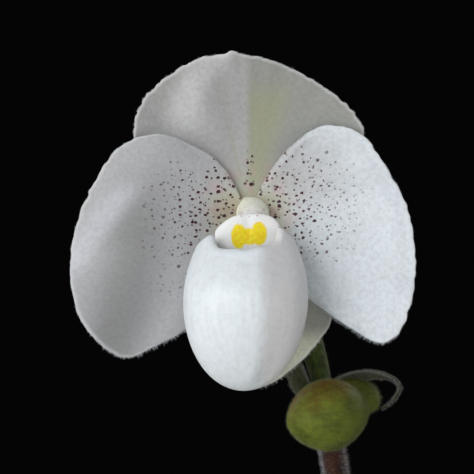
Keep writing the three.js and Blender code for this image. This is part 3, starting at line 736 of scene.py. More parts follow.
# %% The four tepals
BLADE_ROWS, BLADE_COLUMNS = 40, 230
TEPALS = [  # name, margin, the claw's first and last angle, depth, size of the nicks, finish
    ("dorsal_sepal", HOOD_MARGIN, 142, 38, hood_depth, 0.19, hood_white_painted_shade),
    ("synsepal", SYNSEPAL_MARGIN, -54, -126, synsepal_depth, 0.08, sepal_white),
    ("petal_left", LEFT_MARGIN, 238, 124, left_depth, 0.19, left_white_painted_shade),
    ("petal_right", RIGHT_MARGIN, 62, -56, right_depth, 0.19, right_white),
]
for seed, (name, *shape, finish) in enumerate(TEPALS):
    surface = tepal_surface(*shape, seed + 5)
    corners, faces, layers = sheet_about(surface, BLADE_ROWS, BLADE_COLUMNS, blade_thickness)
    piece(name + "_blade", corners, faces, finish, "tepal", [name], layers, bloom=True)
    fringe(name + "_fringe", surface, 20.0, 1.1, 40 + seed, "tepal", fringe_white, 0.027, petal_hairs)

# %% [markdown]
# ## The pouch
# The lip is an egg-shaped slipper. Its body is a loft of level rings, each wider or narrower than the last
# and pushed forwards by the front and back profiles. At the top the rings follow the lip, high in its two
# side lobes, and turn in over the mouth; then they run down again inside, so that the pouch is truly
# hollow.

# %% Shape of the pouch
POUCH_DEPTH, POUCH_HALF, POUCH_WALL, BELLY = 40.5, 14.1, 0.8, 0.49


def pouch_share(down):
    """The width at a share of the way down, as a share of the greatest."""
    x = (down - BELLY) / (1 - BELLY)
    return np.where(x > 0, np.sqrt(np.maximum(0, 1 - x * x)), 1 - 0.54 * x * x)


def pouch_point(down, angle, inset):
    """A point of the skin, or one that lies inside it by the inset."""
    below = np.clip((down - BELLY) / (1 - BELLY), 0, 1)
    front = mix(20.5, 27.5, smooth(0.1, BELLY, down)) - 4.5 * below**2.5
    back = mix(-0.6, 4.5, smooth(0.07, 0.3, down)) + 6 * np.clip((down - 0.3) / 0.7, 0, 1) ** 1.3
    squeeze = mix(1, pouch_share(down), smooth(0.5, 0.62, down))
    width = np.maximum(POUCH_HALF * pouch_share(down) - inset, 0.15)
    depth = np.maximum((front - back) / 2 * squeeze - inset, 0.15)
    x = mix(-0.4, -1.3, down) + width * np.cos(angle)
    flat = np.sin(np.pi * np.clip((np.cos(angle) - 0.2) / 0.76, 0, 1)) ** 1.6
    ridge = 0.3 * bell(np.cos(angle), 0.3, 0.3) - 0.5 * flat
    ridge = ridge * (np.sin(angle) > 0) * smooth(0.02, 0.3, np.sin(np.pi * down))
    return np.stack([x, -POUCH_DEPTH * down, (front + back) / 2 + depth * np.sin(angle) + ridge], -1)

# %% Lip and rings of the pouch
def lip_at(angle):
    """How far down the lip lies; it is highest in the two lobes and in the claw at the back."""
    across, ahead = np.cos(angle), np.sin(angle)
    right_lobe = np.exp(-((np.abs(across - 0.87) / 0.17) ** 1.5))
    left_lobe = np.exp(-((np.abs(across + 0.88) / 0.18) ** 1.6))
    lobe = np.where(across > 0, right_lobe, left_lobe) * smooth(-0.8, 0, ahead)
    claw = np.where(ahead < 0, bell(across, 0, 0.225), 0)
    notch = 0.012 * bell(across, 0, 0.2) * (ahead > 0)
    return mix(0.2 - 0.09 * lobe - 0.022 * across + notch, 0.085, claw)


def pouch_rings(columns=180):
    angle = circle(columns) + np.pi / 2
    lip, turn = lip_at(angle), smooth(-0.95, -0.35, np.sin(angle))
    pole = 1 - (1 - BELLY) * (1 - np.cos(np.linspace(0.02, np.pi / 2, 34)))
    body = np.linspace(BELLY, 0.35, 10)[1:]
    rings = [pouch_point(d + 0 * angle, angle, 0) for d in (*pole, *body)]
    rings += [pouch_point(mix(0.35, lip + 0.022, q), angle, 0.1 * q) for q in np.linspace(0, 1, 14)[1:]]
    edge = [  # further down, inset of the turned-in lip, inset of the claw
        (0.009, 0.3, 0.2), (0.001, 0.75, 0.45), (0.0, 1.2, 0.65), (0.006, 1.75, 0.78), (0.02, 2.3, 0.8),
        (0.04, 2.75, 0.8), (0.058, 2.9, 0.8), (0.068, 2.6, 0.8), (0.07, 2.1, 0.8), (0.066, 1.6, 0.8)]
    for k, (down, inset, plain) in enumerate(edge):
        flat = 0.022 + 0.006 * (k + 1)
        rings.append(pouch_point(lip + mix(flat, down, turn), angle, mix(plain, inset, turn)))
    rings += [pouch_point(mix(lip + 0.09, 0.35, q), angle, POUCH_WALL) for q in np.linspace(0, 1, 8)]
    inner = [d for d in (*body[::-1][1:], *pole[::-1][::2]) if d < 0.972]
    rings += [pouch_point(d + 0 * angle, angle, POUCH_WALL) for d in inner]
    return np.array(rings)

# %% The pouch and its finish
m = Finish("waxy white lip", Base_Color=ink(240, 247, 252), Roughness=0.42, Subsurface_Weight=0.25,
           Subsurface_Scale=0.0012, Subsurface_Radius=(1.0, 0.97, 0.92), Specular_IOR_Level=0.4)
x, y, z = m.place()
veins = m.grain((0.9, 0.12, 0.9), 3.0)
# The right side, away from the key lamp, is a little greyer and less blue than the left: painted shade.
m.over(m.step(x + veins * 3, 2.5, 6.5), 236, 235, 236)
m.over(m.step(veins, 0.4, 0.7) * 0.25, 212, 217, 220)
m.over(m.step(m.grain(0.8, 4.0, 0.7), 0.4, 0.66) * 0.07, 120, 126, 130)
m.over(m.step(y, -16, -8) * m.step(z, 12, 4) * 0.5, 214, 216, 178)
m.relief(veins * 0.25 + m.grain(0.4, 2.0) * 0.75, 0.14)
piece("pouch_body", *skin(pouch_rings()), m, "lip", ["pouch"], bloom=True)

# %% [markdown]
# ## Column and staminode
# The shield over the mouth is one piece with the column behind it. Rings run forwards from the receptacle,
# flare into a rounded oblong, and close over its domed face, which has a groove down its middle. The yellow
# is a mask of two ovals and a third that bridges them.

# %% Shape of the staminode
SHIELD_ROLL = np.radians(4)
#            along  x     y     z    half  high  squareness
SHIELD = [(0.00, 0.0, -0.2, -1.6, 4.2, 3.9, 1.0), (0.03, 0.0, -0.1, -0.4, 4.0, 3.8, 1.0),
          (0.07, 0.1, 0.0, 0.2, 3.5, 3.5, 1.0), (0.11, 0.6, 0.2, 0.9, 3.3, 3.3, 1.0),
          (0.17, 1.1, 0.2, 2.4, 3.5, 3.1, 1.0),
          (0.30, 0.8, -1.0, 6.0, 3.1, 2.6, 1.0), (0.44, -0.2, -3.5, 8.8, 3.2, 2.6, 1.0),
          (0.54, -0.3, -5.0, 10.0, 6.2, 3.9, 0.85), (0.62, -0.3, -5.3, 10.6, 7.3, 4.6, 0.76),
          (0.70, -0.3, -5.4, 11.2, 7.6, 4.85, 0.7), (0.78, -0.3, -5.4, 11.8, 7.2, 4.6, 0.72),
          (0.88, -0.3, -5.4, 12.2, 5.0, 3.2, 0.85), (1.00, -0.3, -5.4, 12.4, 0.3, 0.2, 1.0)]


def staminode_rings(steps=56, columns=96):
    keys = np.array(SHIELD)
    angle = circle(columns)
    c, s = np.cos(angle), np.sin(angle)
    roll_c, roll_s = np.cos(SHIELD_ROLL), np.sin(SHIELD_ROLL)
    rings = []
    for along in np.linspace(0, 1, steps + 1):
        x, y, z, half, high, power = (float(through(keys[:, [0, k]], along)) for k in range(1, 7))
        left = np.maximum(0, -c) * smooth(8, 10, z)
        rounder = power + left * mix(-0.3, 0.55, (s > 0)) * np.abs(s)
        a = half * np.sign(c) * np.abs(c) ** rounder * (1 - mix(0.16, 0.07, smooth(8, 10, z)) * s)
        b = high * np.sign(s) * np.abs(s) ** rounder
        a, b = a * roll_c - b * roll_s, a * roll_s + b * roll_c
        groove = 0.25 * bell(a, 0, 1.1) * smooth(-4.5, 1.0, b) * smooth(0.62, 0.8, along)
        rings.append(np.stack([x + a, y + b, z - groove], -1))
    return np.array(rings)

# %% The staminode and its finish
m = Finish("white and yellow shield", Base_Color=ink(246, 247, 246), Roughness=0.42, Subsurface_Weight=0.12,
           Subsurface_Scale=0.0006, Subsurface_Radius=(1.0, 0.9, 0.6), Specular_IOR_Level=0.45)
x, y, z = m.place()
rough_edge = m.noise(m.join(x, y), 1.1, 3.0) * 0.55
left, right, bridge = (oval(x, y, *place) for place in (
    (-2.4, -5.66, 1.8, 2.95), (2.2, -5.0, 1.85, 2.85), (-0.1, -5.7, 2.4, 2.0)))
yellow = m.step(left.least(right).least(bridge) + rough_edge, 1.45, 0.95) * m.step(z, 10.2, 11.0)
m.over(m.step(z, 9, 5) * 0.9, 246, 247, 228)
m.over(m.step(z, 1.6, 0.0) * 0.4, 196, 192, 160)
blotch = m.step(m.grain(0.9, 2.0), 0.42, 0.7) * m.step(z, 3, 6) * m.step(z, 10.4, 9.2)
# A grey band round the shield where its face turns back towards the mouth: painted shade.
m.over(m.step(z, 9.4, 10.2) * m.step(z, 11.6, 10.8) * 0.4, 168, 168, 166)
m.over(blotch * m.step(y, 1.8, 0.4) * 0.45, 170, 122, 110)
speck = maroon_dots(m, x, y, m.step(y, -1.9, -1.2) * m.step(z, 9.6, 10.4) * 0.4, 0.8)
m.over(speck * 0.8, 160, 70, 84)
rich = m.tint(m.step(m.noise(m.join(x, y), 1.1), 0.35, 0.65), ink(255, 236, 0), ink(255, 216, 0))
m.over(yellow, rich)
m.relief(m.grain(1.4, 3.0), 0.1)
column = piece("column_and_shield", *skin(staminode_rings()), m, "staminode", ["staminode"], bloom=True)

# %% [markdown]
# ## Green, hairy pieces
# The ovary, the bracts and the scape share one kind of skin: green or brown tissue that is streaked along
# its length, under a coat of hairs. Their colour changes from one to the next, so one function makes each
# finish from two colours, and `coat` grows the hairs on a finished mesh. The column behind the shield
# bears short hairs as well.

# %% Tissue and hairs
def tissue_finish(name, pale, dark, streaks, rough=0.5):
    m = Finish(name, Base_Color=ink(*pale), Roughness=rough, Subsurface_Weight=0.2, Subsurface_Scale=0.0012,
               Subsurface_Radius=(0.8, 1.0, 0.4), Specular_IOR_Level=0.2)
    broad = m.grain(0.25, 3.0)
    lines = m.grain(streaks, 3.0)
    m.over(m.step(broad * 0.6 + lines * 0.4, 0.35, 0.65), *dark)
    m.relief(lines * 0.6 + m.grain(2.2, 2.0) * 0.4, 0.25)
    return m


def coat(name, made, count, length, seed, slot, radius, finish=hair_white, lean=(0.0, 0.0, 0.0), keep=None,
         bloom=True, curl=0.35, spread=0.32):
    """Hairs all over a piece, or where keep(at, normal) lets them grow."""
    random = np.random.default_rng(seed)
    roots, normal = roots_on(made, count, random, keep)
    way = normal + np.asarray(lean) + random.normal(0, spread, (count, 3))
    lengths = length * random.uniform(0.5, 1.15, count)
    corners, faces = needles(roots - normal * 0.03, way, lengths, radius, curl, random)
    piece(name, corners, faces, finish, slot, bloom=bloom)

# %% Finishes of the green pieces
coat("column_down", column, 1000, 0.35, 51, "staminode", 0.014, fringe_white,
     keep=lambda at, normal: (at[:, 2] > 1.2) * (at[:, 2] < 9.5))
down_green = Finish("pale green down", Roughness=0.6, Base_Color=ink(140, 148, 104))
dull_down = Finish("dull down", Roughness=0.6, Base_Color=ink(98, 98, 80))
ovary_green = tissue_finish("hairy green ovary", (78, 94, 38), (46, 58, 22), (1.4, 0.3, 1.4), 0.65)
bract_green = tissue_finish("green bract", (62, 68, 36), (38, 43, 24), (2.0, 0.5, 2.0))
m = bract_green
over, out = m.layer("over"), m.layer("out")
x, y, _ = m.place()
m.over(m.step(out, 0.62, 0.36) * m.step(x, 19, 22) * 0.6, 116, 118, 90)
m.over(m.step((over - 0.5).size(), 0.34, 0.5) * 0.75, 112, 108, 108)
scape_brown = tissue_finish("brown purple scape", (68, 34, 20), (36, 18, 13), (1.6, 1.6, 0.12), 0.6)

# %% Ovary and receptacle
OVARY = [(17.7, -41.6, -15.6), (16.6, -37, -18), (14.2, -29, -20.5), (9.5, -17, -18), (4, -6.5, -11),
         (0.4, -0.6, -4.4)]


def ovary_reach(s, angle):
    ribs = 1 + 0.05 * np.cos(3 * angle + 2.5 * s) + 0.02 * np.cos(6 * angle + 2.5 * s)
    return (2.2 + np.sin(np.pi * min(s * 1.05, 1.0))) * ribs


stem = skin(stalk_rings(route(OVARY), ovary_reach, 90, 48))
rise = np.linspace(-np.pi / 2 + 0.1, np.pi / 2 - 0.1, 22)
ball = np.array([ring(circle(48), 3.4 * np.cos(q), -2.4 + 3.9 * np.sin(q)) for q in rise])
stalk = gathered([stem, skin(ball)])
ovary = piece("ovary_stalk", *stalk, ovary_green, "green_tissue", ["ovary"], bloom=True)
coat("ovary_hairs", ovary, 2400, 0.8, 11, "green_tissue", 0.018, dull_down,
     keep=lambda at, normal: at[:, 2] < -3.5)

# %% [markdown]
# ## Bracts
# A bract is a small boat of a leaf that wraps a stalk. Its keel is a curve in space, and the sheet bends
# round the stalk on both sides of it, so the keel and two widths say nearly all of its shape. Lengthwise
# ribs and a hairy margin are what one sees of it against the light.

# %% Shape of a bract
def bract_surface(keel, inward, near_width, far_width, near, far, taper):
    """Each half of the sheet has a width and says how much it bends round what is inside."""
    line = route(keel)

    def surface(s, t):
        centre = line(s)
        along = unit(line(np.clip(s + 1e-3, 0, 1)) - line(np.clip(s - 1e-3, 0, 1)))
        inner = np.asarray(inward, float) - centre
        inner = unit(inner - along * (inner * along).sum(-1, keepdims=True))
        across = np.cross(along, inner)
        u = 2 * t - 1
        half = np.where(u < 0, near_width, far_width) * np.sqrt(smooth(-0.35, 0.3, s)) * taper(s)
        ribs = 0.03 * np.cos(11 * np.pi * u) * smooth(0, 0.2, s)
        hollow = np.where(u < 0, near, far)
        return (centre + across * (half * np.sin(1.25 * u))[..., None]
                + inner * (hollow * half * u * u + ribs)[..., None])

    return surface


def bract_thickness(s, t):
    return mix(0.75, 0.35, np.abs(2 * t - 1) ** 2)

# %% The two bracts
BUD_KEEL = [(21.6, -39.4, -15), (24.4, -38.3, -12.8), (28.6, -37.6, -10.4), (32.2, -38.2, -8.8),
            (34.7, -39.7, -8), (35.5, -41.4, -7.6), (34.7, -43.2, -7.6), (33.4, -44.7, -7.6),
            (31.4, -46.2, -7.6)]
BLOOM_KEEL = [(15.1, -44.6, -13.7), (13.2, -43, -12.9), (11.2, -39.2, -12.4), (9.8, -34.6, -12.8),
              (9, -29.5, -14.2)]
bracts = {
    "bud_bract": bract_surface(BUD_KEEL, (28.5, -43, -9.5), 2.4, 4.2, 0.1, 0.42,
                               lambda s: np.maximum(0.02, 1 - s) ** 0.6),
    "bloom_bract": bract_surface(BLOOM_KEEL, (17.5, -36, -18.5), 2.5, 6.0, 0.5, 0.6,
                                 lambda s: np.sqrt(np.maximum(0.012, 1 - s**3))),
}
for seed, (name, surface) in enumerate(bracts.items()):
    corners, faces, layers = sheet_about(surface, 70, 40, bract_thickness)
    made = piece(name + "_sheet", corners, faces, bract_green, "green_tissue", [name], layers, bloom=True)
    coat(name + "_down", made, 1100, 0.6, 60 + seed, "green_tissue", 0.022)
    for which, edge in enumerate((0.0, 1.0)):
        side_line = lambda s, t: surface(t, mix(0.5, edge, s))
        fringe(f"{name}_edge_{which}", side_line, 11.0, 0.8, 80 + 2 * seed + which, "green_tissue")

# %% [markdown]
# ## Scape
# The scape rises out of the leaves and leans to where the bloom and the bud part. It is brown-purple,
# faintly ribbed, and its white hairs stand straight out, about a millimetre long.

# %% Scape
CROWN_Z = 66.3  # where the scape and the leaves start
SCAPE_ROUTE = [(0, 0, CROWN_Z), (0, 0, 95), (-0.2, -0.2, 112), (-2, -2.4, 138), (-6, -6.4, 164),
               (-11, -10.2, 189), (-15.4, -13, 207), (-18, -15, 225)]


def scape_reach(s, angle):
    return mix(2.3, 2.5, s) * (1 + 0.025 * np.cos(5 * angle) + 0.012 * np.cos(13 * angle + 9 * s))


def scape_keep(at, normal):
    """None among the leaves, most of them near the top, and fewer in front and behind than on the sides."""
    upwards = smooth(108, 116, at[:, 2]) * (1 + 1.6 * smooth(195, 215, at[:, 2]))
    return upwards * (1 - 0.8 * np.abs(normal[:, 1]) ** 1.5)


stem = skin(stalk_rings(route(SCAPE_ROUTE), scape_reach, 160, 40, (1.0, 0.0, 0.0)))
scape = piece("scape_stem", *stem, scape_brown, "scape", ["scape"])
coat("scape_hairs", scape, 14000, 1.4, 21, "scape", 0.015, keep=scape_keep, bloom=False, curl=0.25,
     spread=0.18)

# %% [markdown]
# ## Bud
# The bud is an egg that points down to the left and forwards, on a short bent stalk of its own. Where its
# sepals meet, a shallow seam runs to the tip. It is yellow-green below and flushed reddish brown above,
# under short pale green down.

# %% Shape of the bud
BUD_TIP = unit(np.array([-0.86, -0.18, 0.48]))
BUD_BASE = np.array([18.1, -47.3, -2]) - 9.6 * BUD_TIP


def bud_reach(s, angle):
    whole = 8.3 * np.sin(np.pi * mix(0.07, 0.992, s)) ** 0.62
    seams = sum(0.28 * bell((angle - a + np.pi) % (2 * np.pi), np.pi, 0.07) for a in (0.9, 3.0, 5.1))
    ribs = 0.09 * np.cos(9 * angle + 1.0) + 0.05 * np.cos(17 * angle)
    return np.maximum(whole + (ribs - seams) * np.sin(np.pi * min(s + 0.05, 1.0)), 0.1)

# %% Finish of the bud
m = bud_skin = Finish("bud skin", Base_Color=ink(114, 124, 40), Roughness=0.6, Subsurface_Weight=0.25,
                      Subsurface_Scale=0.0015, Subsurface_Radius=(0.9, 1.0, 0.3), Specular_IOR_Level=0.2)
x, y, _ = m.place()
broad = m.grain(0.16, 3.0)
fine = m.grain((0.5, 0.8, 0.6), 5.0, 0.65)
m.over(m.step(broad * 0.55 + fine * 0.45, 0.38, 0.64), 78, 90, 24)
flush = m.step(y + broad * 7 - x * 0.35, -50, -43) * m.step(fine + broad * 0.5, 0.5, 0.9)
m.over(flush * 0.75, 118, 80, 18)
m.over(m.step(x + broad * 5, 20, 30) * 0.5, 62, 74, 20)
m.relief(fine * 0.6 + m.grain(2.4, 2.0) * 0.4, 0.25)

# %% The bud and its stalk
def to_ends(s):
    """Even steps drawn together at both ends, where an egg turns fastest."""
    return 0.5 - 0.5 * np.cos(np.pi * s)


def bud_stalk_reach(s, angle):
    return mix(1.9, 2.25, s) * (1 + 0.04 * np.cos(6 * angle))


budline = route([BUD_BASE, BUD_BASE + 10 * BUD_TIP, BUD_BASE + 19.8 * BUD_TIP])
egg = skin(stalk_rings(lambda s: budline(to_ends(s)), lambda s, a: bud_reach(to_ends(s), a), 90, 128))
BUD_STALK = [(20.9, -42.1, -14.6), (24.4, -41.3, -13.4), (27.8, -42.4, -11.2), (28.6, -44.5, -8.4),
             BUD_BASE + 1.5 * BUD_TIP]
stem = skin(stalk_rings(route(BUD_STALK), bud_stalk_reach, 60, 40))
bud = piece("bud_body", *egg, bud_skin, "bud", ["bud"], bloom=True)
bud_stalk = piece("bud_stalk", *stem, bud_skin, "bud", bloom=True)
coat("bud_down", bud, 7600, 0.6, 31, "bud", 0.014, down_green, lean=-0.3 * BUD_TIP, spread=0.2)
coat("bud_stalk_down", bud_stalk, 2400, 1.0, 32, "bud", 0.018, down_green)

# %% [markdown]
# ## Leaves
# Each strap leaf clasps the growth with a folded sheath, unrolls, arches out and hangs over the rim. The
# path is a curve whose lean grows with its length, and the blade is bent across it like a shallow gutter.
# One formula with seven numbers a leaf makes all nine.

# %% Shape of a leaf
GROWTHS = [(0.0, 0.0, 11.8), (17.0, -25.0, 7.4)]  # x, y and radius of the main growth and of the side one
#              turn length half sheath lean droop sway
MAIN_LEAVES = [(170, 98, 15, 17, 62, 98, 6), (11, 104, 15.5, 21, 58, 100, 8),
               (194, 112, 16.5, 26, 50, 101, -7), (-11, 108, 16, 31, 46, 96, 9),
               (173, 88, 14, 37, 33, 74, -5), (6, 70, 12, 43, 27, 60, 4)]
SIDE_LEAVES = [(192, 52, 10.5, 16, 52, 88, 3), (-8, 60, 11, 20, 44, 82, -3), (183, 44, 9, 25, 26, 52, 2)]
INNER_SHEATH, SHEATH_PITCH = 3.6, 1.45


def leaf_surface(leaf, sheath_radius, phase):
    _, length, half, sheath, lean, droop, sway = leaf
    total, steps = sheath + length, 240

    def lean_at(l):
        rising = lean * smooth(0.8 * sheath, sheath + 14, l)
        return np.radians(rising + (droop - lean) * smooth(sheath, total, l))

    middle = lean_at((np.arange(steps) + 0.5) * total / steps)
    r_run = sheath_radius + np.concatenate([[0], np.cumsum(np.sin(middle))]) * total / steps
    z_run = CROWN_Z + np.concatenate([[0], np.cumsum(np.cos(middle))]) * total / steps
    knots = np.linspace(0, total, steps + 1)

    def surface(s, t):
        l = s * total
        r, z, lean_here = np.interp(l, knots, r_run), np.interp(l, knots, z_run), lean_at(l)
        blade = (l - sheath) / length
        clasp = np.radians(mix(112, 72, smooth(0, sheath, l)))
        curl = mix(clasp, np.radians(-14), smooth(sheath - 2, sheath + 30, l))
        fold = np.radians(mix(0, 30, smooth(sheath, sheath + 12, l)) * mix(1, 0.42, smooth(0.1, 0.9, blade)))
        tip = np.sqrt(np.maximum(0, 1 - np.clip((blade - 0.52) / 0.48, 0, 1) ** 2.3))
        blade_half = half * mix(0.82, 1, smooth(0, 0.45, blade)) * np.maximum(tip, 0.03)
        wide = mix(sheath_radius * clasp, blade_half, smooth(sheath, sheath + 26, l))
        u = 2 * t - 1
        share = np.abs(u)
        across, lift = 0 * l, 0 * l
        for k in range(8):
            angle = fold + curl * share * (k + 0.5) / 8
            across = across + np.cos(angle) * wide * share / 8
            lift = lift + np.sin(angle) * wide * share / 8
        open_share = smooth(sheath + 10, sheath + 40, l) * smooth(1.0, 0.85, blade)
        wave = 0.45 * open_share * share**2 * np.sin(2 * np.pi * (l / 37 + phase) + 1.7 * np.sign(u))
        groove = -0.45 * bell(u * wide, 0, 1.3) * smooth(sheath, sheath + 20, l)
        lift = lift + wave + groove
        lateral = np.sign(u) * across + sway * np.clip(blade, 0, 1) ** 2
        return np.stack([r - lift * np.cos(lean_here), lateral, z + lift * np.sin(lean_here)], -1)

    return surface

# %% Finish of a leaf
def leaf_finish(name, shift):
    m = Finish(name, Base_Color=ink(46, 74, 32), Specular_IOR_Level=0.5, Coat_Roughness=0.35,
               Coat_Weight=0.12, Subsurface_Weight=0.08, Subsurface_Scale=0.0012,
               Subsurface_Radius=(0.3, 1.0, 0.2))
    out, over, side = m.layer("out"), m.layer("over"), m.layer("side")
    along, wide = out * 26 + shift, (over - 0.5) * 7
    warp = m.noise(m.join(along * 0.35, wide * 0.5), 1.0, 2.0) * 1.3
    near, shade, _ = m.cells(m.join(along * 0.62 + warp, wide + warp))
    patches = m.step(shade * 0.65 + near * 0.5 + warp * 0.12, 0.42, 0.7)
    m.over(patches, 104, 128, 78)
    midrib = m.step((over - 0.5).size(), 0.035, 0.0)
    m.over(midrib * 0.55, 40, 64, 30)
    blotch = m.noise(m.join(along * 0.6, wide * 0.8), 1.0, 4.0)
    under = m.tint(m.step(blotch, 0.4, 0.62), ink(120, 132, 84), ink(104, 66, 72))
    m.over(m.step(side, 0.3, -0.3), under)
    m.over(m.step(out, 0.24, 0.02) * 0.7, 134, 130, 92)
    edge_line = m.step((over - 0.5).size(), 0.485, 0.5)
    m.over(edge_line * 0.5, 150, 160, 110)
    m.drive("Roughness", m.step(blotch, 0.2, 0.8) * 0.16 + 0.3)
    fibres = m.noise(m.join(out * 5, over * 70), 1.0, 2.0)
    m.relief(fibres * 0.6 + m.noise(m.join(along * 2.2, wide * 2.5), 1.0, 4.0) * 0.4, 0.3)
    return m

# %% The two growths of leaves
def leaf_thickness(s, t):
    return mix(0.95, 0.5, np.abs(2 * t - 1) ** 3)


def turned(points, angle, axis):
    """Points turned by an angle about axis 0, 1 or 2."""
    a, b = (axis + 1) % 3, (axis + 2) % 3
    new = points.copy()
    new[:, a] = points[:, a] * np.cos(angle) - points[:, b] * np.sin(angle)
    new[:, b] = points[:, a] * np.sin(angle) + points[:, b] * np.cos(angle)
    return new


def grow(name, leaves, place, rows, columns, finish):
    """The leaves of one growth, the outer ones first."""
    for i, leaf in enumerate(leaves):
        radius = INNER_SHEATH + (len(leaves) - 1 - i) * SHEATH_PITCH
        surface = leaf_surface(leaf, radius, 0.37 * i)
        corners, faces, layers = sheet_about(surface, rows, columns, leaf_thickness)
        corners = turned(corners, np.radians(leaf[0]), 2) + np.array([*place[:2], 0])
        piece(f"{name}_{i + 1}_blade", corners, faces, finish, "leaf", [f"{name}_{i + 1}"], layers)


grow("main_leaf", MAIN_LEAVES, GROWTHS[0], 110, 36, leaf_finish("mottled leaf", 0.0))
grow("side_leaf", SIDE_LEAVES, GROWTHS[1], 72, 30, leaf_finish("mottled leaf of the side growth", 40.0))

# %% [markdown]
# ## Rootstock
# A short, scarred rootstock carries both growths. Little of it shows between the sheaths and the bark, so a
# loft with a few rings and lumps is enough.

# %% Rootstock
def stump_rings(x, y, radius, seed, low=56.0, high=66.0, sides=96):
    random = np.random.default_rng(seed)
    angle = circle(sides)
    lumps = sum(random.uniform(0.1, 0.3) * np.cos(k * angle + random.uniform(0, 6)) for k in range(2, 9))
    foot = [(low, 0.02), (low, 0.8), (low + 0.6, 0.92), (low + 2, 0.975)]
    scars = [(low + 2 + k, 0.985 + 0.012 * (k % 2)) for k in range(1, 7)]
    top = [(high - 0.8, 0.98), (high - 0.2, 0.93), (high, 0.86), (high, 0.02)]
    rings = []
    for z, share in foot + scars + top:
        reach = np.minimum(radius * share + lumps * 0.5 * (share > 0.5), radius)
        rings.append(ring(angle, reach, z, x, y))
    return np.array(rings)


m = Finish("rootstock", Base_Color=ink(150, 134, 84), Roughness=0.75)
bands = m.grain((0.3, 0.3, 1.4), 4.0)
grain = m.grain(1.5, 5.0)
m.over(m.step(bands * 0.7 + grain * 0.3, 0.35, 0.65), 88, 66, 42)
m.relief(bands * 0.6 + grain * 0.4, 0.5)
runner_route = route([(0, 0, 61), (8.5, -12.5, 61), (17, -25, 61)])
runner = skin(stalk_rings(runner_route, lambda s, a: 3.4 + 0.1 * np.cos(7 * a), 30, 32))
stumps = [skin(stump_rings(*place, seed)) for seed, place in enumerate(GROWTHS, 3)]
piece("rootstock", *gathered([*stumps, runner]), m, "rootstock", ["rhizome"])

# %% [markdown]
# ## Bark
# The pot is filled with conifer bark. A closed bed fills it and steps down round the two growths, and a few
# hundred chips lie on it. A chip starts as a finely cut brick, loses its corners, and is split a little
# along its grain, so each comes out different.

# %% Bed of bark
POT_HEIGHT, POT_TOP, POT_FOOT, POT_WALL, POT_FLOOR = 92.0, 53.0, 38.0, 5.0, 6.0
BED_TOP, BED_STEP = 75.0, 55.6  # the bed's edge, and its floor round the growths


def pot_wall_at(z):
    return mix(POT_FOOT, POT_TOP, z / POT_HEIGHT)


def inside_at(z):
    return pot_wall_at(z) - POT_WALL - 0.8


def bed_rings(columns=160):
    angle = circle(columns)
    rings = [ring(angle, 1.0, 6.3), ring(angle, inside_at(6.3) - 1, 6.3)]
    rings += [ring(angle, inside_at(z), z) for z in np.linspace(7, 74.5, 12)]
    for share in np.linspace(1, 0.01, 90):
        r = share * (inside_at(BED_TOP) - 0.4)
        x, y = r * np.cos(angle), r * np.sin(angle)
        z = 76.2 + 1.2 * (1 - share) + 0.5 * np.sin(x * 0.7) * np.cos(y * 0.8) - 1.5 * smooth(0.94, 1, share)
        for gx, gy, reach in GROWTHS:
            z = mix(BED_STEP, z, smooth(reach + 0.5, reach + 1.6, np.hypot(x - gx, y - gy)))
        rings.append(ring(angle, r, z))
    return np.array(rings)

# %% Chips
def brick(nx, ny, nz):
    """The skin of a unit brick cut into small squares: corners from -1 to 1, and faces."""
    corners, faces, known = [], [], {}
    counts = (nx, ny, nz)

    def number(key):
        if key not in known:
            known[key] = len(corners)
            corners.append([2 * key[a] / counts[a] - 1 for a in range(3)])
        return known[key]

    for axis in range(3):
        u, v = (axis + 1) % 3, (axis + 2) % 3
        for end in (0, counts[axis]):
            for i in range(counts[u]):
                for j in range(counts[v]):
                    quad = []
                    for di, dj in ((0, 0), (1, 0), (1, 1), (0, 1)):
                        key = [0, 0, 0]
                        key[axis], key[u], key[v] = end, i + di, j + dj
                        quad.append(number(tuple(key)))
                    faces.append(quad if end else quad[::-1])
    return np.array(corners), faces


BRICK, BRICK_FACES = brick(7, 5, 3)


def bark_chip(random, place, size, turn):
    away = np.abs(BRICK)
    worn = 1 - 0.16 * (away[:, [1, 2, 0]] ** 3) * random.uniform(0.4, 1.3, 3)
    p = BRICK / 2 * worn * size
    p[:, 1] *= 1 - random.uniform(0.1, 0.45) * (0.5 + 0.5 * BRICK[:, 0] * random.choice([-1, 1]))
    grain = random.normal(0, 1, 6)[np.clip(((BRICK[:, 1] + 1) * 2.99).astype(int), 0, 5)]
    p[:, 2] += 0.28 * grain * np.sign(BRICK[:, 2]) + 0.5 * random.normal() * BRICK[:, 0] ** 2
    p[:, 0] += 0.5 * grain * np.sign(BRICK[:, 0]) * (away[:, 0] > 0.9)
    p += random.normal(0, 0.16, p.shape)
    for axis, angle in enumerate((*np.radians(random.normal(0, 11, 2)), turn)):
        p = turned(p, angle, axis)
    return p + place

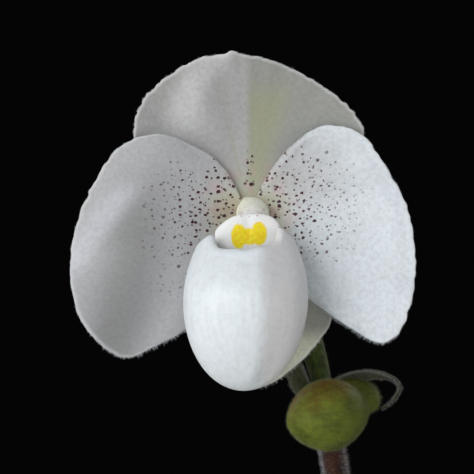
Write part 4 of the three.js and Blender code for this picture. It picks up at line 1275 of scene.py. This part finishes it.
# %% Scattering the chips
CHIP_ROOM = 0.8  # between a chip and a growth or the pot
random = np.random.default_rng(7)
bed = skin(bed_rings())
chips, shades = [bed], [np.full(len(bed[0]), 0.5)]
reach = inside_at(80)
for count, height, scale in ((120, 76.6, 1.0), (190, 78.6, 0.9), (120, 80.6, 0.85)):
    placed = 0
    while placed < count:
        size = np.array([random.uniform(7, 14), random.uniform(5, 9.5), random.uniform(2.2, 4.4)]) * scale
        r, angle = (reach - 2.5) * np.sqrt(random.random()), random.uniform(0, 2 * np.pi)
        x, y = r * np.cos(angle), r * np.sin(angle)
        turn = random.uniform(0, np.pi)
        half = np.hypot(*size[:2]) / 2
        near_growth, gx, gy = min((np.hypot(x - gx, y - gy) - g, gx, gy) for gx, gy, g in GROWTHS)
        near_pot = reach - r - CHIP_ROOM
        if near_growth < CHIP_ROOM + size[1] / 2 or near_pot < size[1] / 2:
            continue
        if near_growth < half:
            turn = np.arctan2(y - gy, x - gx) + np.pi / 2
        elif near_pot < half:
            turn = angle + np.pi / 2
        z = height + 2.0 * (1 - r / reach) + random.uniform(-0.8, 0.8)
        corners = bark_chip(random, np.array([x, y, z]), size, turn)
        radius = np.hypot(corners[:, 0], corners[:, 1])
        corners[:, :2] *= np.minimum(1, (inside_at(corners[:, 2]) - 0.2) / radius)[:, None]
        chips.append((corners, BRICK_FACES))
        shades.append(np.full(len(corners), random.random()))
        placed += 1

# %% Finish of the bark
m = Finish("conifer bark", Base_Color=ink(86, 54, 36), Roughness=0.86, Specular_IOR_Level=0.3)
x, y, z = m.place()
shade = m.layer("shade")
grain = m.grain(0.9, 6.0)
flecks = m.noise(m.join(x + shade * 40, y, z), 3.2, 4.0)
m.over(shade, 168, 118, 78)
m.over(m.step(flecks, 0.46, 0.66) * 0.6, 62, 40, 28)
m.over(m.step(grain, 0.56, 0.7) * 0.45, 172, 134, 98)
m.relief(grain * 0.6 + flecks * 0.4, 0.7)
piece("bark_bed", *gathered(chips), m, "bark", ["bark_mix"], {"shade": np.concatenate(shades)})

# %% [markdown]
# ## Pot
# The pot is turned: one outline, spun round the axis, with every corner rounded as a potter's sponge leaves
# it. Its drain holes are cut with a boolean, which is applied, so that the mesh is whole. Fired clay is dull
# and uneven, with fine turning lines, and lime blooms white where water dries at the foot and under the
# rim.

# %% Profile of the pot
COLLAR_Z, COLLAR = 75.0, 3.5  # where the rim's collar starts, and how far it stands out
HOLES, HOLE_RADIUS, HOLES_AT = 5, 5.0, 22.0
POT_SIDES, POT_STEP = 176, 5.0


def rounded(profile, radii, steps=6):
    """An outline of [radius, height] corners, each corner replaced by a short arc."""
    p = np.array(profile, float)
    points = [p[0]]
    for i in range(1, len(p) - 1):
        back, ahead = unit(p[i - 1] - p[i]), unit(p[i + 1] - p[i])
        for q in np.linspace(0, 1, steps):
            points.append(p[i] + radii[i] * (back * (1 - q) ** 2 + ahead * q**2))
    return np.array(points + [p[-1]])


rough = rounded(
    [(0.4, 0), (POT_FOOT, 0), (pot_wall_at(COLLAR_Z - 1.5), COLLAR_Z - 1.5),
     (pot_wall_at(COLLAR_Z) + COLLAR, COLLAR_Z), (POT_TOP + COLLAR, POT_HEIGHT),
     (POT_TOP - POT_WALL, POT_HEIGHT), (pot_wall_at(POT_FLOOR) - POT_WALL, POT_FLOOR), (0.4, POT_FLOOR)],
    [0, 1.6, 0.9, 1.2, 1.7, 1.7, 3.0, 0])
fine = [rough[0]]
for a, b in zip(rough[:-1], rough[1:]):
    steps = max(1, int(np.linalg.norm(b - a) / POT_STEP))
    fine += [mix(a, b, q) for q in np.linspace(0, 1, steps + 1)[1:]]
rings = np.array([ring(circle(POT_SIDES), r, z) for r, z in fine])

# %% Finish of the pot
m = Finish("fired clay", Base_Color=ink(186, 106, 72), Specular_IOR_Level=0.25)
z = m.place()[2]
cloud = m.grain((0.03, 0.03, 0.05), 4.0)
turning = m.grain((0.01, 0.01, 1.5), 3.0)
sand = m.grain(2.2, 3.0)
m.over(m.step(cloud, 0.35, 0.68), 160, 84, 56)
m.over(m.step(sand, 0.6, 0.72) * 0.3, 204, 142, 108)
lime = m.step(m.grain((0.07, 0.07, 0.12), 5.0), 0.46, 0.7)
low_and_rim = m.step(z, 22, 0).most(m.step((z - 73).size(), 7, 0) * 0.7)
m.over(lime * (low_and_rim * 0.55 + 0.1), 222, 208, 194)
m.drive("Roughness", m.step(cloud, 0.2, 0.8) * 0.12 + 0.78)
m.relief(turning * 0.55 + sand * 0.45, 0.35)

# %% The pot and its drain holes
pot = piece("clay_pot", *skin(rings), m, "terracotta", ["pot"])
for i in range(HOLES):
    turn = 2 * np.pi * (i + 0.5) / HOLES
    place = Vector((HOLES_AT * np.cos(turn), HOLES_AT * np.sin(turn), POT_FLOOR / 2)) * MM
    bpy.ops.mesh.primitive_cylinder_add(vertices=48, radius=HOLE_RADIUS * MM, depth=20 * MM, location=place)
    cutter = bpy.context.object
    cut = pot.modifiers.new("drain", "BOOLEAN")
    cut.object, cut.operation, cut.solver = cutter, "DIFFERENCE", "EXACT"
    bpy.context.view_layer.objects.active = pot
    bpy.ops.object.modifier_apply(modifier="drain")
    bpy.data.objects.remove(cutter)
print("pot with", HOLES, "drain holes:", len(pot.data.polygons), "faces")
